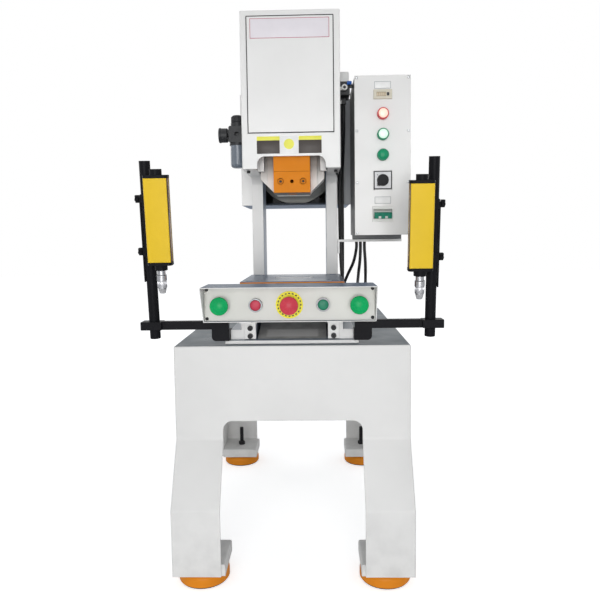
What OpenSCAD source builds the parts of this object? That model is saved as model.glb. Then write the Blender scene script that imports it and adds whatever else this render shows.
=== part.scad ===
// Pneumatic punch press: a welded C-frame press on a folded sheet stand, with two-hand control,
// an electrical cabinet, an air service unit and a light curtain on each side of the die space.
// Millimetres, +X to the operator's right, -Y towards the operator, +Z up, floor at z = 0.

/* [Stand] */
// Width of the table
table_w = 560; // [480:5:640]
// Depth of the table
table_d = 720; // [680:5:800]
// Height of the table top above the floor
table_h = 556; // [520:1:640]
// Thickness of the folded stand sheet
stand_t = 5; // [3:0.5:8]
// Depth of the apron under the table top
apron_h = 181; // [120:1:185]
// Width of a leg's end face and of its side face
leg_w = 114; // [90:1:140]
// How far the lower legs stand out to the front and rear
leg_kick = 77; // [40:1:100]
// Height of the upper fold in the legs
kick_top_z = 332; // [280:1:335]
// Height of the lower fold in the legs
kick_low_z = 187; // [150:1:230]
// Height of the legs' lower ends
leg_z = 32; // [28:1:45]
// Radius where a leg meets the apron
leg_fillet = 23; // [8:1:30]
// Height of the folded foot trays
tray_h = 28; // [20:1:40]
// Side of the square foot trays
tray_w = 118; // [100:1:130]

/* [Anti-vibration mounts] */
// Diameter of a mount's cap
pad_d = 120; // [100:1:130]
// Distance of a mount's axis from the leg's outer faces
pad_inset = 64; // [60:1:70]
// Diameter of the levelling stud
stud_d = 12; // [8:1:16]
// Height of the stud's upper end above the floor
stud_top_z = 122; // [100:1:140]
// Height of the rubber pad
rubber_h = 8; // [6:0.5:12]

/* [Press frame] */
// Width over the two side plates
frame_w = 246; // [230:1:260]
// Thickness of a side plate
plate_t = 32; // [20:1:36]
// Distance from the table's front edge to the bed's front
bed_setback = 40; // [20:1:60]
// Width of the base flange
flange_w = 318; // [306:1:340]
// Thickness of the base flange
flange_t = 9; // [6:0.5:14]
// How far the flange stands out in front of the bed
flange_front = 20; // [10:1:30]
// How far the flange stands out behind the columns
flange_rear = 30; // [25:1:50]
// Width of the plinth bars' outer faces
plinth_w = 296; // [280:1:304]
// Height of the plinth bars
plinth_h = 23; // [15:1:30]
// Height of the bolster's upper face above the table
work_h = 145; // [135:1:170]
// Depth of the throat, from the bed's front to the columns
throat_d = 315; // [290:1:340]
// Height of the throat, from the bolster to the upper jaw
throat_h = 284; // [250:1:320]
// Radius in the throat's upper corner
throat_r = 30; // [10:1:45]
// Depth of the columns, front to rear
column_d = 106; // [90:1:130]
// Distance from the bed's front back to the jaw's front
jaw_setback = 135; // [130:1:140]
// Height of the frame's window above the base flange
window_h = 50; // [35:1:60]
// Width of the frame's window
window_w = 174; // [140:1:176]
// Radius of the window's upper corners
window_r = 20; // [6:1:24]
// Thickness of the frame's cross plates
cross_t = 20; // [12:1:24]

/* [Bolster] */
// Width of the bolster plate
bolster_w = 258; // [240:1:270]
// Distance of the plate's front edge behind the bed's
bolster_setback = 38; // [0:1:45]
// Thickness of the bolster plate
bolster_t = 40; // [30:1:50]
// Width of the drop slot
slot_w = 100; // [60:1:120]
// Depth of the drop slot, front to rear
slot_d = 57; // [30:1:80]
// Distance from the bed's front to the punch axis
die_setback = 178; // [174:1:182]
// Spacing of the tapped clamping holes, both ways
clamp_hole_pitch = 180; // [150:1:190]
// Drilled diameter of the clamping holes
clamp_hole_d = 10.2; // [8.5:0.1:14]
// Depth of the clamping holes
clamp_hole_depth = 28; // [15:1:29]
// Thickness of the scrap chute's sheet
chute_t = 3; // [2:0.5:4]

/* [Head] */
// Height of the head's top above the upper jaw
head_h = 388; // [360:1:420]
// Thickness of the head cover's sheet
cover_t = 2; // [1.5:0.1:3]
// Distance from the bed's front to the head's front face
head_setback = 109; // [105:1:112]
// Width of the cut-out for the ram
cutout_w = 174; // [160:1:180]
// Height of the cut-out's upper edge above the jaw
cutout_h = 29; // [15:1:35]
// Radius of the cut-out's upper corners
cutout_r = 20; // [6:1:28]
// Width of the front panel
panel_w = 216; // [180:1:224]
// Height of the front panel
panel_h = 285; // [240:1:295]
// Distance of the front panel below the head's top
panel_drop = 15; // [12:1:25]
// Gap round the front panel
panel_gap = 1.5; // [1:0.1:3]

/* [Air tank] */
// Diameter of the tank
tank_d = 246; // [220:1:252]
// Depth of a dished end
tank_dish = 28; // [15:1:35]
// Width of the rear cover
rear_w = 330; // [310:1:350]
// Depth of the rear cover
rear_d = 230; // [200:1:260]
// Height of the rear cover
rear_h = 334; // [320:1:365]
// Thickness of the rear cover's sheet
rear_t = 3; // [2:0.5:4]
// Distance of the rear cover's bottom below the jaw
rear_drop = 79; // [70:1:90]
// Height of the lip under the rear cover's front opening
rear_lip = 4; // [3.5:0.5:10]

/* [Air cylinder] */
// Bore of the cylinder
bore_d = 100; // [80:1:104]
// Wall of the barrel
barrel_wall = 5; // [3:0.5:6]
// Stroke of the ram
stroke = 70; // [40:1:80]
// Side of the square end caps
cap_w = 124; // [120:1:128]
// Thickness of the end caps
cap_t = 28; // [20:1:32]
// Thickness of the piston
piston_t = 36; // [30:1:44]
// Diameter of the piston rod
rod_d = 30; // [24:1:36]
// Diameter of the tie rods
tie_d = 12; // [8:1:12]
// Spacing of the tie rods
tie_pitch = 96; // [94:1:98]
// Space left at each end of the stroke
cushion = 7; // [4:0.5:10]
// Running clearance on the radius
running_fit = 0.05; // [0.02:0.01:0.1]

/* [Ram and guide] */
// Width of the ram's front
ram_w = 94; // [84:1:96]
// Height of the ram
ram_h = 139; // [125:1:145]
// Distance of the ram's lower face below the jaw
ram_drop = 62; // [55:1:64]
// Distance of the ram's front behind the head's front face
ram_setback = 16; // [12:1:20]
// Height of the clamp plate
clamp_h = 54; // [46:1:60]
// Thickness of the clamp plate
clamp_t = 25; // [20:1:30]
// Spacing of the clamp screws
clamp_pitch = 58; // [48:1:64]
// Diameter of the bore for the punch shank
shank_d = 25; // [16:0.1:28]
// Depth of the bore for the punch shank
shank_depth = 55; // [40:1:70]
// How far the ram's tongue stands out on each side
tongue = 10; // [6:0.5:12]
// Width of the guide block
guide_w = 168; // [156:1:174]
// Height of the guide block
guide_h = 128; // [116:1:130]
// Distance of the guide block's lower face below the jaw
guide_drop = 63; // [54:1:66]
// Chamfer on the guide block's lower corners
guide_chamfer = 40; // [10:1:44]
// Depth of the guide block, front to rear
guide_d = 80; // [75:1:90]
// Width of a gib strip
gib_w = 18; // [14:0.5:22]
// Thickness of a gib strip
gib_t = 12; // [8:0.5:14]
// Sliding clearance of the ram
slide_gap = 0.3; // [0.2:0.05:0.5]

/* [Control box] */
// Width of the control box
box_w = 380; // [360:1:420]
// Height of the control box
box_h = 80; // [76:1:90]
// Depth of the control box
box_d = 61; // [54:1:80]
// Distance of the box's front in front of the bed
box_reach = 124; // [115:1:140]
// Height of the box's underside above the base flange
box_lift = 59.5; // [52:0.5:66]
// Reach of the control box's hood in front of its panel, at the top
hood_reach = 44; // [20:1:50]
// Sheet of the control box
box_t = 2; // [1.5:0.1:3]
// Width of a box bracket
bracket_w = 27; // [20:1:32]
// Thickness of a box bracket
bracket_t = 6; // [4:0.5:8]
// Diameter of a palm button
palm_d = 40; // [34:1:46]
// Spacing of the palm buttons
palm_pitch = 304; // [290:1:310]
// Diameter of the small buttons' bezels
bezel_d = 30; // [28:0.5:32]
// Spacing of the start and stop buttons
push_pitch = 148; // [130:1:170]
// Diameter of the emergency stop button
estop_d = 40; // [34:1:44]
// Diameter of the emergency stop's disc
disc_d = 60; // [52:1:66]
// Travel of a palm button
palm_travel = 6; // [3:0.5:6]
// Travel of the start and stop buttons
push_travel = 4; // [2:0.5:4]
// Travel of the emergency stop button
estop_travel = 5; // [3:0.5:6]

/* [Cabinet] */
// Width of the cabinet
cab_w = 146; // [130:1:160]
// Height of the cabinet
cab_h = 412; // [400:1:440]
// Depth of the cabinet
cab_d = 200; // [185:1:220]
// Sheet of the cabinet
cab_t = 2; // [1.5:0.1:3]
// Gap between head and cabinet
cab_gap = 39; // [36:1:50]
// Distance of the cabinet's front behind the head's front face
cab_setback = 56; // [50:1:70]
// Distance of the cabinet's top below the head's top
cab_drop = 149; // [140:1:160]
// Distance of the counter below the cabinet's top
counter_drop = 49; // [44:1:54]
// Distance of the first pilot lamp below the cabinet's top
lamp_drop = 99; // [94:1:104]
// Spacing of the pilot lamps
lamp_pitch = 52.5; // [48:0.5:54]
// Distance of the selector below the cabinet's top
selector_drop = 269; // [262:1:276]
// Distance of the breaker below the cabinet's top
breaker_drop = 357; // [350:1:364]
// Diameter of the pilot lamps' bezels
lamp_d = 30; // [26:0.5:34]
// Side of the selector's plate
selector_w = 48; // [42:1:54]
// Diameter of the selector's knob
knob_d = 28; // [22:1:32]
// Width of the breaker
breaker_w = 54; // [48:1:60]
// Height of the breaker's nose
breaker_h = 40; // [36:1:46]
// Width of the stroke counter
counter_w = 48; // [40:1:54]
// Height of the stroke counter
counter_h = 24; // [20:1:28]

/* [Air service unit] */
// Side of the regulator's body
frl_w = 44; // [38:1:48]
// Height of the regulator's centre below the head's top
frl_drop = 287; // [270:1:300]
// Distance of the unit's axis behind the head's front face
frl_setback = 111; // [100:1:130]
// Diameter of the regulator's knob
frl_knob_d = 34; // [28:1:38]
// Diameter of the filter bowl
bowl_d = 40; // [34:1:42]
// Length of the filter bowl
bowl_h = 60; // [50:1:70]
// Diameter of the pressure gauge
gauge_d = 40; // [32:1:44]
// Drilled diameter of the air inlet
inlet_d = 11.8; // [8:0.1:14]

/* [Light curtain] */
// Width over the outer ends of the arms
arm_span = 716; // [700:2:760]
// Side of the square arms
arm_w = 20; // [16:1:24]
// Distance of a post's axis from its arm's outer end
post_inset = 30; // [26:1:36]
// Diameter of the posts
post_d = 25; // [20:1:27]
// Length of the posts
post_l = 417; // [400:1:440]
// Forward lean of the posts, in degrees
post_lean = 6.5; // [0:0.5:10]
// Width of a housing
housing_w = 54; // [48:1:60]
// Depth of a housing
housing_d = 28; // [24:1:40]
// Height of a housing
housing_h = 189; // [175:1:205]
// How far a housing's centre lies inside its post
housing_inset = 32.5; // [28:0.5:36]
// Height of the left housing's centre above the arm
left_housing_z = 253; // [235:1:258]
// Height of the right housing's centre above the arm
right_housing_z = 233; // [220:1:258]
// Spacing of the two collars on a post
collar_pitch = 122; // [100:1:140]

/* [Hidden] */
$fn = 72;

// Colours
paint = [0.89, 0.885, 0.87];
orange = [0.90, 0.52, 0.13];
yellow = [0.93, 0.77, 0.16];
black = [0.09, 0.09, 0.10];
dark_grey = [0.34, 0.37, 0.40];
steel = [0.72, 0.74, 0.77];
red = [0.80, 0.16, 0.20];
green = [0.05, 0.60, 0.33];

// Small clearances: a screw in its hole, a part in its cut-out, a stem in its sleeve
hole_gap = 0.4;
seat_gap = 0.3;
stem_gap = 0.2;

// Push buttons: how far each head's underside lies in front of the panel, and how thick it is
estop_disc_t = 2;
bezel_h = 10;
palm_under = bezel_h + palm_travel + 1;
estop_under = estop_disc_t + bezel_h + estop_travel + 3;
head_rim = 8;
head_crown = 5;
palm_front = palm_under + head_rim + head_crown;
estop_front = estop_under + head_rim + head_crown;

// Places along Y: the stand is set back so that the whole press is centred on y = 0
rear_reach = table_d / 2 + leg_kick;
front_reach = table_d / 2 - bed_setback + box_reach + max(palm_front, estop_front);
stand_y = (front_reach - rear_reach) / 2;
bed_y = stand_y - table_d / 2 + bed_setback;
column_y = bed_y + throat_d;
column_rear_y = column_y + column_d;
flange_rear_y = column_rear_y + flange_rear;
jaw_y = bed_y + jaw_setback;
die_y = bed_y + die_setback;
head_y = bed_y + head_setback;
ram_y = head_y + ram_setback;
box_y = bed_y - box_reach;
cab_y = head_y + cab_setback;

// Heights
base_z = table_h + flange_t;
plinth_z = base_z + plinth_h;
bolster_z = table_h + work_h;
bed_top_z = bolster_z - bolster_t;
jaw_z = bolster_z + throat_h;
head_top_z = jaw_z + head_h;
plate_top_z = head_top_z - cover_t - 11;
cover_z = jaw_z - cover_t;
panel_z = head_top_z - panel_drop - panel_h / 2;
rear_z = jaw_z - rear_drop;
tank_z = rear_z + rear_lip + 2 + tank_d / 2;
box_z = base_z + box_lift;
cab_top_z = head_top_z - cab_drop;
cab_z = cab_top_z - cab_h;

// Widths
gap_w = frame_w - 2 * plate_t;
head_w = frame_w + 2 * cover_t;
head_rear_y = column_rear_y - cross_t;

// Mounts under the stand
pad_x = table_w / 2 - pad_inset;
pad_y = table_d / 2 + leg_kick - pad_inset;
cap_z = 3;
cap_round = 14;
rubber_d = pad_d - 6;
stud_z = leg_z - 16;
nut_d = 1.85 * stud_d;
nut_h = 0.9 * stud_d;
collar_d = 2.8 * stud_d;

// Ram, guide and cylinder, from the lower face upwards
ram_z = jaw_z - ram_drop;
ram_top_z = ram_z + ram_h;
guide_z = jaw_z - guide_drop;
guide_y = ram_y + 45;
tongue_w = ram_w + 2 * tongue;
tongue_y = guide_y + slide_gap;
tongue_d = 2 * (die_y - tongue_y) + 36;
guide_top_z = guide_z + guide_h;
tongue_low = max(guide_z, guide_z + guide_chamfer - (guide_w - tongue_w) / 2) + 1;
lug_t = 16;
lug_w = 18;
lug_z = jaw_z - 4;
seat_z = ram_top_z + 13;
cap_low_z = seat_z + cross_t;
barrel_z = cap_low_z + cap_t;
barrel_h = stroke + piston_t + 2 * cushion;
cap_top_z = barrel_z + barrel_h;
piston_z = cap_top_z - cushion - piston_t;
rod_socket = 12;
rod_neck_d = 0.66 * rod_d;
seal_w = 6;
seal_depth = 4;
tie_nut_d = 1.8 * tie_d;
tie_nut_h = 0.8 * tie_d;

// Screws: diameters of heads, heads' heights and shanks
m8 = 8;
m10 = 10;
m12 = 12;
m4 = 4;
m6 = 6;
bracket_x = 100;
bracket_screw_z = [base_z + 9, base_z + 28];
bolster_screw_x = frame_w / 2 - plate_t / 2;
cover_screw_y = jaw_y + 18;
hood_screw_x = frame_w / 2 - 9;
bolster_y = bed_y + bolster_setback;
bolster_screw_y = [bolster_y + 26, column_y - 26];
base_screw_x = 70;
base_screw_y = column_rear_y + flange_rear / 2;
clamp_screw_z = ram_z + 29;
set_screw_d = 9;

// Control box
box_mid_z = box_z + box_h / 2;
button_z = box_z + 37.5;
hood_low = 6;
contact_l = 45;
stem_bore_l = 30;
palm_x = palm_pitch / 2;
push_x = push_pitch / 2;
neck_d = 22;
panel_margin = 8;
box_panel_gap = 0.5;
push_d = bezel_d - 6;
stem_d = 12;
palm_stem_d = 15;

// Cabinet
cab_x = head_w / 2 + cab_gap;
cab_mid_x = cab_x + cab_w / 2;
cab_rear_y = cab_y + cab_d;
cab_flange = 12;
counter_z = cab_top_z - counter_drop;
counter_t = 5;
counter_rim = 6;
counter_depth = 50;
lamp_z = [for (i = [0:2]) cab_top_z - lamp_drop - lamp_pitch * i];
lamp_t = 14;
lens_t = 3;
lamp_depth = 45;
selector_z = cab_top_z - selector_drop;
breaker_z = cab_top_z - breaker_drop;
door_screw_inset = 6;
door_screw_x = [cab_x + door_screw_inset, cab_x + cab_w - door_screw_inset];
door_screw_z = [cab_top_z - door_screw_inset, cab_top_z - cab_h / 3 - 4, cab_top_z - 2 * cab_h / 3,
    cab_z + door_screw_inset];
bar_h = 7;
bar_drop = 12;
bar_d = 30;
bar_foot_h = 40;
bar_foot_t = 6;
hanger_t = 4;
hanger_w = 40;
hanger_h = 30;
hanger_x = cab_x + 46;
hanger_setback = 115;
hanger_y = cab_y + hanger_setback;
duct_w = 24;
duct_d = 30;
duct_t = 2;
duct_x = head_w / 2 + 18;
duct_top_z = cab_top_z - 9;
valve_w = 30;
valve_d = 70;
valve_h = 32;
valve_y = head_y + 101;
valve_z = cab_top_z - 38;
valve_port_d = 14;
valve_port_l = 16;
coil_d = 22;
coil_h = 28;
coil_chamfer = 7;
cab_gland_x = [cab_x + 28, cab_x + 40, cab_x + 16];
cab_gland_y = cab_rear_y - 10;
gland_d = 14;
gland_h = 16;
lever_w = 11;
toggle_d = 18;
toggle_y = cab_y + 7;
toggle_rest = 12;
pin_d = 4;

// Air service unit
frl_x = -head_w / 2 - 2 - frl_w / 2;
frl_y = head_y + frl_setback;
frl_z = head_top_z - frl_drop;
hose_d = 8;
hose_port_l = 14;

// Light curtain
arm_y = bed_y - 15;
arm_rise = 5;
arm_z = plinth_z + arm_rise + arm_w / 2;
arm_x = plinth_w / 2 + 2;
arm_clamp_w = 50;
arm_foot_w = 42;
arm_foot_r = 10;
arm_toe_t = 12;
arm_toe_l = 30;
post_x = arm_span / 2 - post_inset;
post_below = 31;
post_top = post_l - post_below;
housing_x = post_x - housing_inset;
housing_y = -post_d / 2 - 6 - housing_d / 2;
housing_wall = 3;
window_t = 3;
optics_edge = 5;
end_cap_h = 7;
collar_wall = 2.5;
collar_h = 20;
collar_z = -13;
connector_d = 23;
connector_l = 54;

// Cable routes, as parts of the way from each cable's start to its end
cable_d = 9;
cable_gap = 0.2;
trunk_x = [5.5, 15.5];
trunk_start_y = valve_y + 45;
trunk_end_x = plinth_w / 2 - 9;
trunk_end_y = [column_y + 35, column_y + 53, column_y + 71];
trunk_end_z = plinth_z + gland_h;
control_ends = [for (i = [0:2]) [[cab_gland_x[i], cab_gland_y, cab_z - gland_h],
    i == 2 ? [trunk_end_x, trunk_end_y[2], trunk_end_z]
        : [cab_gland_x[i] - 28, box_y + box_d + cable_gap, box_z + 35]]];
control_shapes = [
    [[0, 0, 0], [0, 0, 0.188], [0.071, 0.008, 0.442], [0.286, 0.064, 0.696], [0.571, 0.242, 0.899],
        [0.786, 0.497, 0.986], [0.929, 0.753, 1.029], [1, 0.906, 1.0], [1, 1, 1]],
    [[0, 0, 0], [0, 0, 0.188], [-0.071, 0.013, 0.478], [0, 0.079, 0.797], [0.286, 0.268, 1.043],
        [0.643, 0.523, 1.13], [0.929, 0.778, 1.087], [1, 0.918, 1.0], [1, 1, 1]],
    [[0, 0, 0], [0, 0, 0.12], [0.2, 0.3, 0.33], [0.62, 0.8, 0.54], [0.93, 1, 0.72], [1, 1, 0.86],
        [1, 1, 0.93], [1, 1, 1]]];
control_routes = [for (i = [0:2]) [for (f = control_shapes[i])
    [for (k = [0:2]) control_ends[i][0][k] + f[k] * (control_ends[i][1][k] - control_ends[i][0][k])]]];
trunk_ends = [for (i = [0, 1]) [[head_w / 2 + trunk_x[i], trunk_start_y, valve_z - gland_h],
    [trunk_end_x, trunk_end_y[i], trunk_end_z]]];
trunk_shape = [[0, 0, 0], [0, 0, 0.06], [0, 0.2, 0.15], [0.02, 0.75, 0.27], [0.04, 1, 0.4],
    [0.08, 1, 0.6], [0.35, 1, 0.76], [0.85, 1, 0.88], [1, 1, 0.94], [1, 1, 1]];
trunk_routes = [for (e = trunk_ends) [for (f = trunk_shape)
    [for (k = [0:2]) e[0][k] + f[k] * (e[1][k] - e[0][k])]]];
hose_y = frl_y + frl_w / 2 + hose_port_l;
hose_reach = -head_w / 2 - cable_gap - frl_x;
hose_run = 78;
hose_route = [for (f = [[0, 0], [0, 0.13], [-0.105, 0.28], [-0.27, 0.44], [-0.345, 0.59],
        [-0.165, 0.795], [0.33, 0.945], [0.75, 1], [1, 1]])
    [frl_x + f[0] * hose_reach, hose_y + f[1] * hose_run, frl_z]];
cable_sides = 8;
control_steps = 2;
trunk_steps = 1;

// Limits of a span of the given width about a centre
function span(centre, width) = [centre - width / 2, centre + width / 2];

// Block between two limits on each axis
module block(x, y, z) {
    translate([x[0], y[0], z[0]]) cube([x[1] - x[0], y[1] - y[0], z[1] - z[0]]);
}

// Cylinders along each axis, between two limits
module rod_x(y, z, x, d) {
    translate([x[0], y, z]) rotate([0, 90, 0]) cylinder(d = d, h = x[1] - x[0]);
}

module rod_y(x, z, y, d) {
    translate([x, y[0], z]) rotate([-90, 0, 0]) cylinder(d = d, h = y[1] - y[0]);
}

module rod_z(x, y, z, d) {
    translate([x, y, z[0]]) cylinder(d = d, h = z[1] - z[0]);
}

// Plate whose outline is drawn in (Y, Z), between two limits along X
module side_slab(x) {
    translate([x[0], 0, 0]) rotate([90, 0, 90]) linear_extrude(x[1] - x[0]) children();
}

// Plate whose outline is drawn in (X, Z), between two limits along Y
module front_slab(y) {
    translate([0, y[1], 0]) rotate([90, 0, 0]) linear_extrude(y[1] - y[0]) children();
}

// The same shape on both sides of a plane
module both_x() {
    for (m = [0, 1]) mirror([m, 0, 0]) children();
}

module both_y() {
    for (m = [0, 1]) mirror([0, m, 0]) children();
}

// Rectangle with round corners about the origin
module rounded_rect(w, h, r) {
    square([w - 2 * r, h], center = true);
    square([w, h - 2 * r], center = true);
    for (sx = [-1, 1], sy = [-1, 1]) translate([sx * (w / 2 - r), sy * (h / 2 - r)]) circle(r);
}

// Opening with round upper corners, between two heights
module arch(w, z, r) {
    translate([-w / 2, z[0]]) square([w, z[1] - r - z[0]]);
    translate([-w / 2 + r, z[0]]) square([w - 2 * r, z[1] - z[0]]);
    for (s = [-1, 1]) translate([s * (w / 2 - r), z[1] - r]) circle(r);
}

// Fillet in the corner at the origin, on the side of +x and -y
module corner_fillet(r) {
    difference() {
        translate([0, -r]) square(r);
        translate([r, -r]) circle(r);
    }
}

// Disc with a shallow spherical crown, axis +Z, underside at z = 0
module crowned_disc(d, rim, crown) {
    crown_r = (d * d / 4 + crown * crown) / (2 * crown);
    rotate_extrude() {
        square([d / 2, rim]);
        intersection() {
            translate([0, rim]) square([d / 2, crown]);
            translate([0, rim + crown - crown_r]) circle(crown_r, $fn = 200);
        }
    }
}

// Points on a smooth curve through a route, a few steps to each stretch
function curve_point(a, b, c, d, t) = 0.5 * (2 * b + (c - a) * t + (2 * a - 5 * b + 4 * c - d) * t * t
    + (3 * b - a - 3 * c + d) * t * t * t);
function smooth_route(p, steps) = [for (i = [0:len(p) - 2], k = [0:steps - 1])
    curve_point(p[max(i - 1, 0)], p[i], p[i + 1], p[min(i + 2, len(p) - 1)], k / steps), p[len(p) - 1]];
function unit(v) = v / norm(v);
function heading(p, i) = unit(p[min(i + 1, len(p) - 1)] - p[max(i - 1, 0)]);

// Tube swept along points, its rings set square to the route; across is a direction the route never takes
module swept_tube(p, d, across, sides) {
    ends = len(p) - 1;
    rings = [for (i = [0:ends]) let (t = heading(p, i), u = unit(cross(across, t)), v = cross(t, u))
        for (k = [0:sides - 1]) p[i] + d / 2 * (cos(360 * k / sides) * u + sin(360 * k / sides) * v)];
    walls = [for (i = [0:ends - 1], k = [0:sides - 1]) let (n = (k + 1) % sides)
        [i * sides + k, (i + 1) * sides + k, (i + 1) * sides + n, i * sides + n]];
    polyhedron(rings, concat(walls, [[for (k = [0:sides - 1]) k]],
        [[for (k = [sides - 1:-1:0]) ends * sides + k]]));
}

// Screw with a socket head: axis +Z, head's seat at z = 0, shank downwards
module socket_screw(d, grip) {
    difference() {
        cylinder(d = 1.55 * d, h = d);
        translate([0, 0, 0.45 * d]) cylinder(d = 0.92 * d, h = d, $fn = 6);
    }
    translate([0, 0, -grip]) cylinder(d = d, h = grip);
}

// Screw with a low round head and a cross slot
module pan_screw(d, grip) {
    difference() {
        cylinder(d = 2 * d, h = 0.6 * d);
        for (a = [0, 90]) rotate(a) translate([-0.7 * d, -0.1 * d, 0.3 * d]) cube([1.4 * d, 0.2 * d, d]);
    }
    translate([0, 0, -grip]) cylinder(d = d, h = grip);
}

// Turns a piece that points up so that it points at the operator
module facing_front(x, y, z) {
    translate([x, y, z]) rotate([90, 0, 0]) children();
}

module leg_corners() {
    for (x = [-pad_x, pad_x], y = [stand_y - pad_y, stand_y + pad_y]) translate([x, y, 0]) children();
}

module end_wall() {
    edge = table_d / 2;
    lean = atan(leg_kick / (kick_top_z - kick_low_z));
    miter = stand_t * tan(lean / 2);
    difference() {
        side_slab(span(0, table_w)) polygon([[-edge, table_h], [-edge, kick_top_z],
            [-edge - leg_kick, kick_low_z], [-edge - leg_kick, leg_z], [-edge - leg_kick + stand_t, leg_z],
            [-edge - leg_kick + stand_t, kick_low_z - miter], [-edge + stand_t, kick_top_z - miter],
            [-edge + stand_t, table_h]]);
        front_slab([-table_d, 0]) arch(table_w - 2 * leg_w, [0, table_h - apron_h], leg_fillet);
    }
}

module side_wall_outline() {
    edge = table_d / 2;
    open = edge - leg_w;
    apron_z = table_h - apron_h;
    difference() {
        polygon([[-edge, table_h], [-edge, kick_top_z], [-edge - leg_kick, kick_low_z],
            [-edge - leg_kick, leg_z], [edge + leg_kick, leg_z], [edge + leg_kick, kick_low_z],
            [edge, kick_top_z], [edge, table_h]]);
        difference() {
            polygon([[-open, apron_z], [-open, kick_top_z], [-open - leg_kick, kick_low_z],
                [-open - leg_kick, 0], [open + leg_kick, 0], [open + leg_kick, kick_low_z],
                [open, kick_top_z], [open, apron_z]]);
            for (m = [0, 1]) mirror([m, 0]) translate([-open, apron_z]) corner_fillet(leg_fillet);
        }
    }
}

module foot_tray() {
    x = [table_w / 2 - stand_t - tray_w, table_w / 2 - stand_t];
    y = [-table_d / 2 - leg_kick + stand_t, -table_d / 2 - leg_kick + stand_t + tray_w];
    top = leg_z + tray_h;
    difference() {
        block(x, y, [leg_z, top]);
        block([x[0] + stand_t, x[1] - stand_t], [y[0] + stand_t, y[1] - stand_t], [0, top - stand_t]);
        rod_z(pad_x, -pad_y, [0, top + 1], stud_d + hole_gap);
    }
}

module stand() {
    color(paint) translate([0, stand_y, 0]) {
        block(span(0, table_w), span(0, table_d), [table_h - stand_t, table_h]);
        both_y() end_wall();
        both_x() side_slab([table_w / 2 - stand_t, table_w / 2]) side_wall_outline();
        both_x() both_y() foot_tray();
    }
}

module mount_caps() {
    r = pad_d / 2;
    color(orange) leg_corners() rotate_extrude() difference() {
        union() {
            translate([0, cap_z]) square([r, leg_z - cap_z - cap_round]);
            translate([0, cap_z]) square([r - cap_round, leg_z - cap_z]);
            translate([r - cap_round, leg_z - cap_round]) circle(cap_round);
        }
        square([rubber_d / 2 + stem_gap, rubber_h]);
        translate([0, stud_z]) square([stud_d / 2 + stem_gap, leg_z]);
    }
}

module mount_rubbers() {
    color(black) leg_corners() cylinder(d = rubber_d, h = rubber_h);
}

module levelling_bolts() {
    tray_top = leg_z + tray_h;
    color(steel) leg_corners() {
        rod_z(0, 0, [stud_z, stud_top_z], stud_d);
        rod_z(0, 0, [leg_z, tray_top - stand_t], collar_d);
        translate([0, 0, tray_top]) cylinder(d = nut_d, h = nut_h, $fn = 6);
    }
}

module frame_outline() {
    translate([bed_y, base_z]) square([throat_d + column_d, bed_top_z - base_z]);
    translate([column_y, base_z]) square([column_d, plate_top_z - base_z]);
    translate([jaw_y, jaw_z]) square([column_rear_y - jaw_y, plate_top_z - jaw_z]);
    translate([column_y, jaw_z]) mirror([1, 0]) corner_fillet(throat_r);
}

module tie_rod_places() {
    for (x = span(0, tie_pitch), y = span(die_y, tie_pitch)) translate([x, y, 0]) children();
}

module press_frame() {
    gap = span(0, gap_w);
    color(paint) difference() {
        union() {
            both_x() side_slab([gap_w / 2, frame_w / 2]) frame_outline();
            block(span(0, flange_w), [bed_y - flange_front, flange_rear_y], [table_h, base_z]);
            both_x() block([frame_w / 2, plinth_w / 2], [bed_y, column_rear_y], [base_z, plinth_z]);
            for (y = trunk_end_y) rod_z(trunk_end_x, y, [plinth_z - 1, trunk_end_z], gland_d);
            difference() {
                block(gap, [bed_y, bed_y + cross_t], [base_z, bed_top_z]);
                front_slab([bed_y - 1, bed_y + cross_t + 1])
                    arch(window_w, [base_z, base_z + window_h], window_r);
            }
            block(gap, [column_y - cross_t, column_y], [base_z, bed_top_z]);
            both_x()
                block([gap_w / 2 - lug_w, gap_w / 2], [guide_y - lug_t, guide_y], [lug_z, guide_top_z]);
            block(gap, [die_y - cap_w / 2, column_y], [seat_z, cap_low_z]);
            block(gap, [column_rear_y - cross_t, column_rear_y], [jaw_z + 60, plate_top_z]);
            block(gap, [column_y, column_rear_y], [plate_top_z - cross_t, plate_top_z]);
        }
        rod_z(0, die_y, [seat_z - 1, cap_low_z + 1], 1.6 * rod_d);
        tie_rod_places() rod_z(0, 0, [seat_z - 1, cap_low_z + 1], tie_d + hole_gap);
        for (s = [-1, 1]) {
            for (y = bolster_screw_y)
                rod_z(s * bolster_screw_x, y, [bed_top_z - 2 * m12, bed_top_z + 1], m12 + hole_gap);
            for (z = bracket_screw_z) rod_y(s * bracket_x, z, [bed_y - 1, bed_y + 2 * m8], m8 + hole_gap);
            rod_z(s * hood_screw_x, cover_screw_y, [jaw_z - 1, jaw_z + 2 * m10], m6 + hole_gap);
            rod_z(s * base_screw_x, base_screw_y, [table_h - 1, base_z + 1], m10 + hole_gap);
        }
    }
}

module bolster_plate() {
    y = [bolster_y, column_y - 2];
    color(steel) difference() {
        block(span(0, bolster_w), y, [bed_top_z, bolster_z]);
        translate([0, die_y, bed_top_z - 1]) linear_extrude(bolster_t + 2) rounded_rect(slot_w, slot_d, 8);
        for (x = span(0, clamp_hole_pitch), dy = span(0, clamp_hole_pitch))
            rod_z(x, die_y + dy, [bolster_z - clamp_hole_depth, bolster_z + 1], clamp_hole_d);
        for (s = [-1, 1], screw_y = bolster_screw_y) {
            rod_z(s * bolster_screw_x, screw_y, [bed_top_z - 1, bolster_z + 1], m12 + hole_gap);
            rod_z(s * bolster_screw_x, screw_y, [bolster_z - m12 - 2, bolster_z + 1], 1.7 * m12);
        }
    }
}

module scrap_chute() {
    low = [bed_y + 6, base_z];
    high = [column_y - cross_t, bed_top_z - 12];
    color(steel) side_slab(span(0, window_w - 8))
        polygon([low, high, [high[0], high[1] - chute_t], [low[0] + 3 * chute_t, low[1]]]);
}

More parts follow.
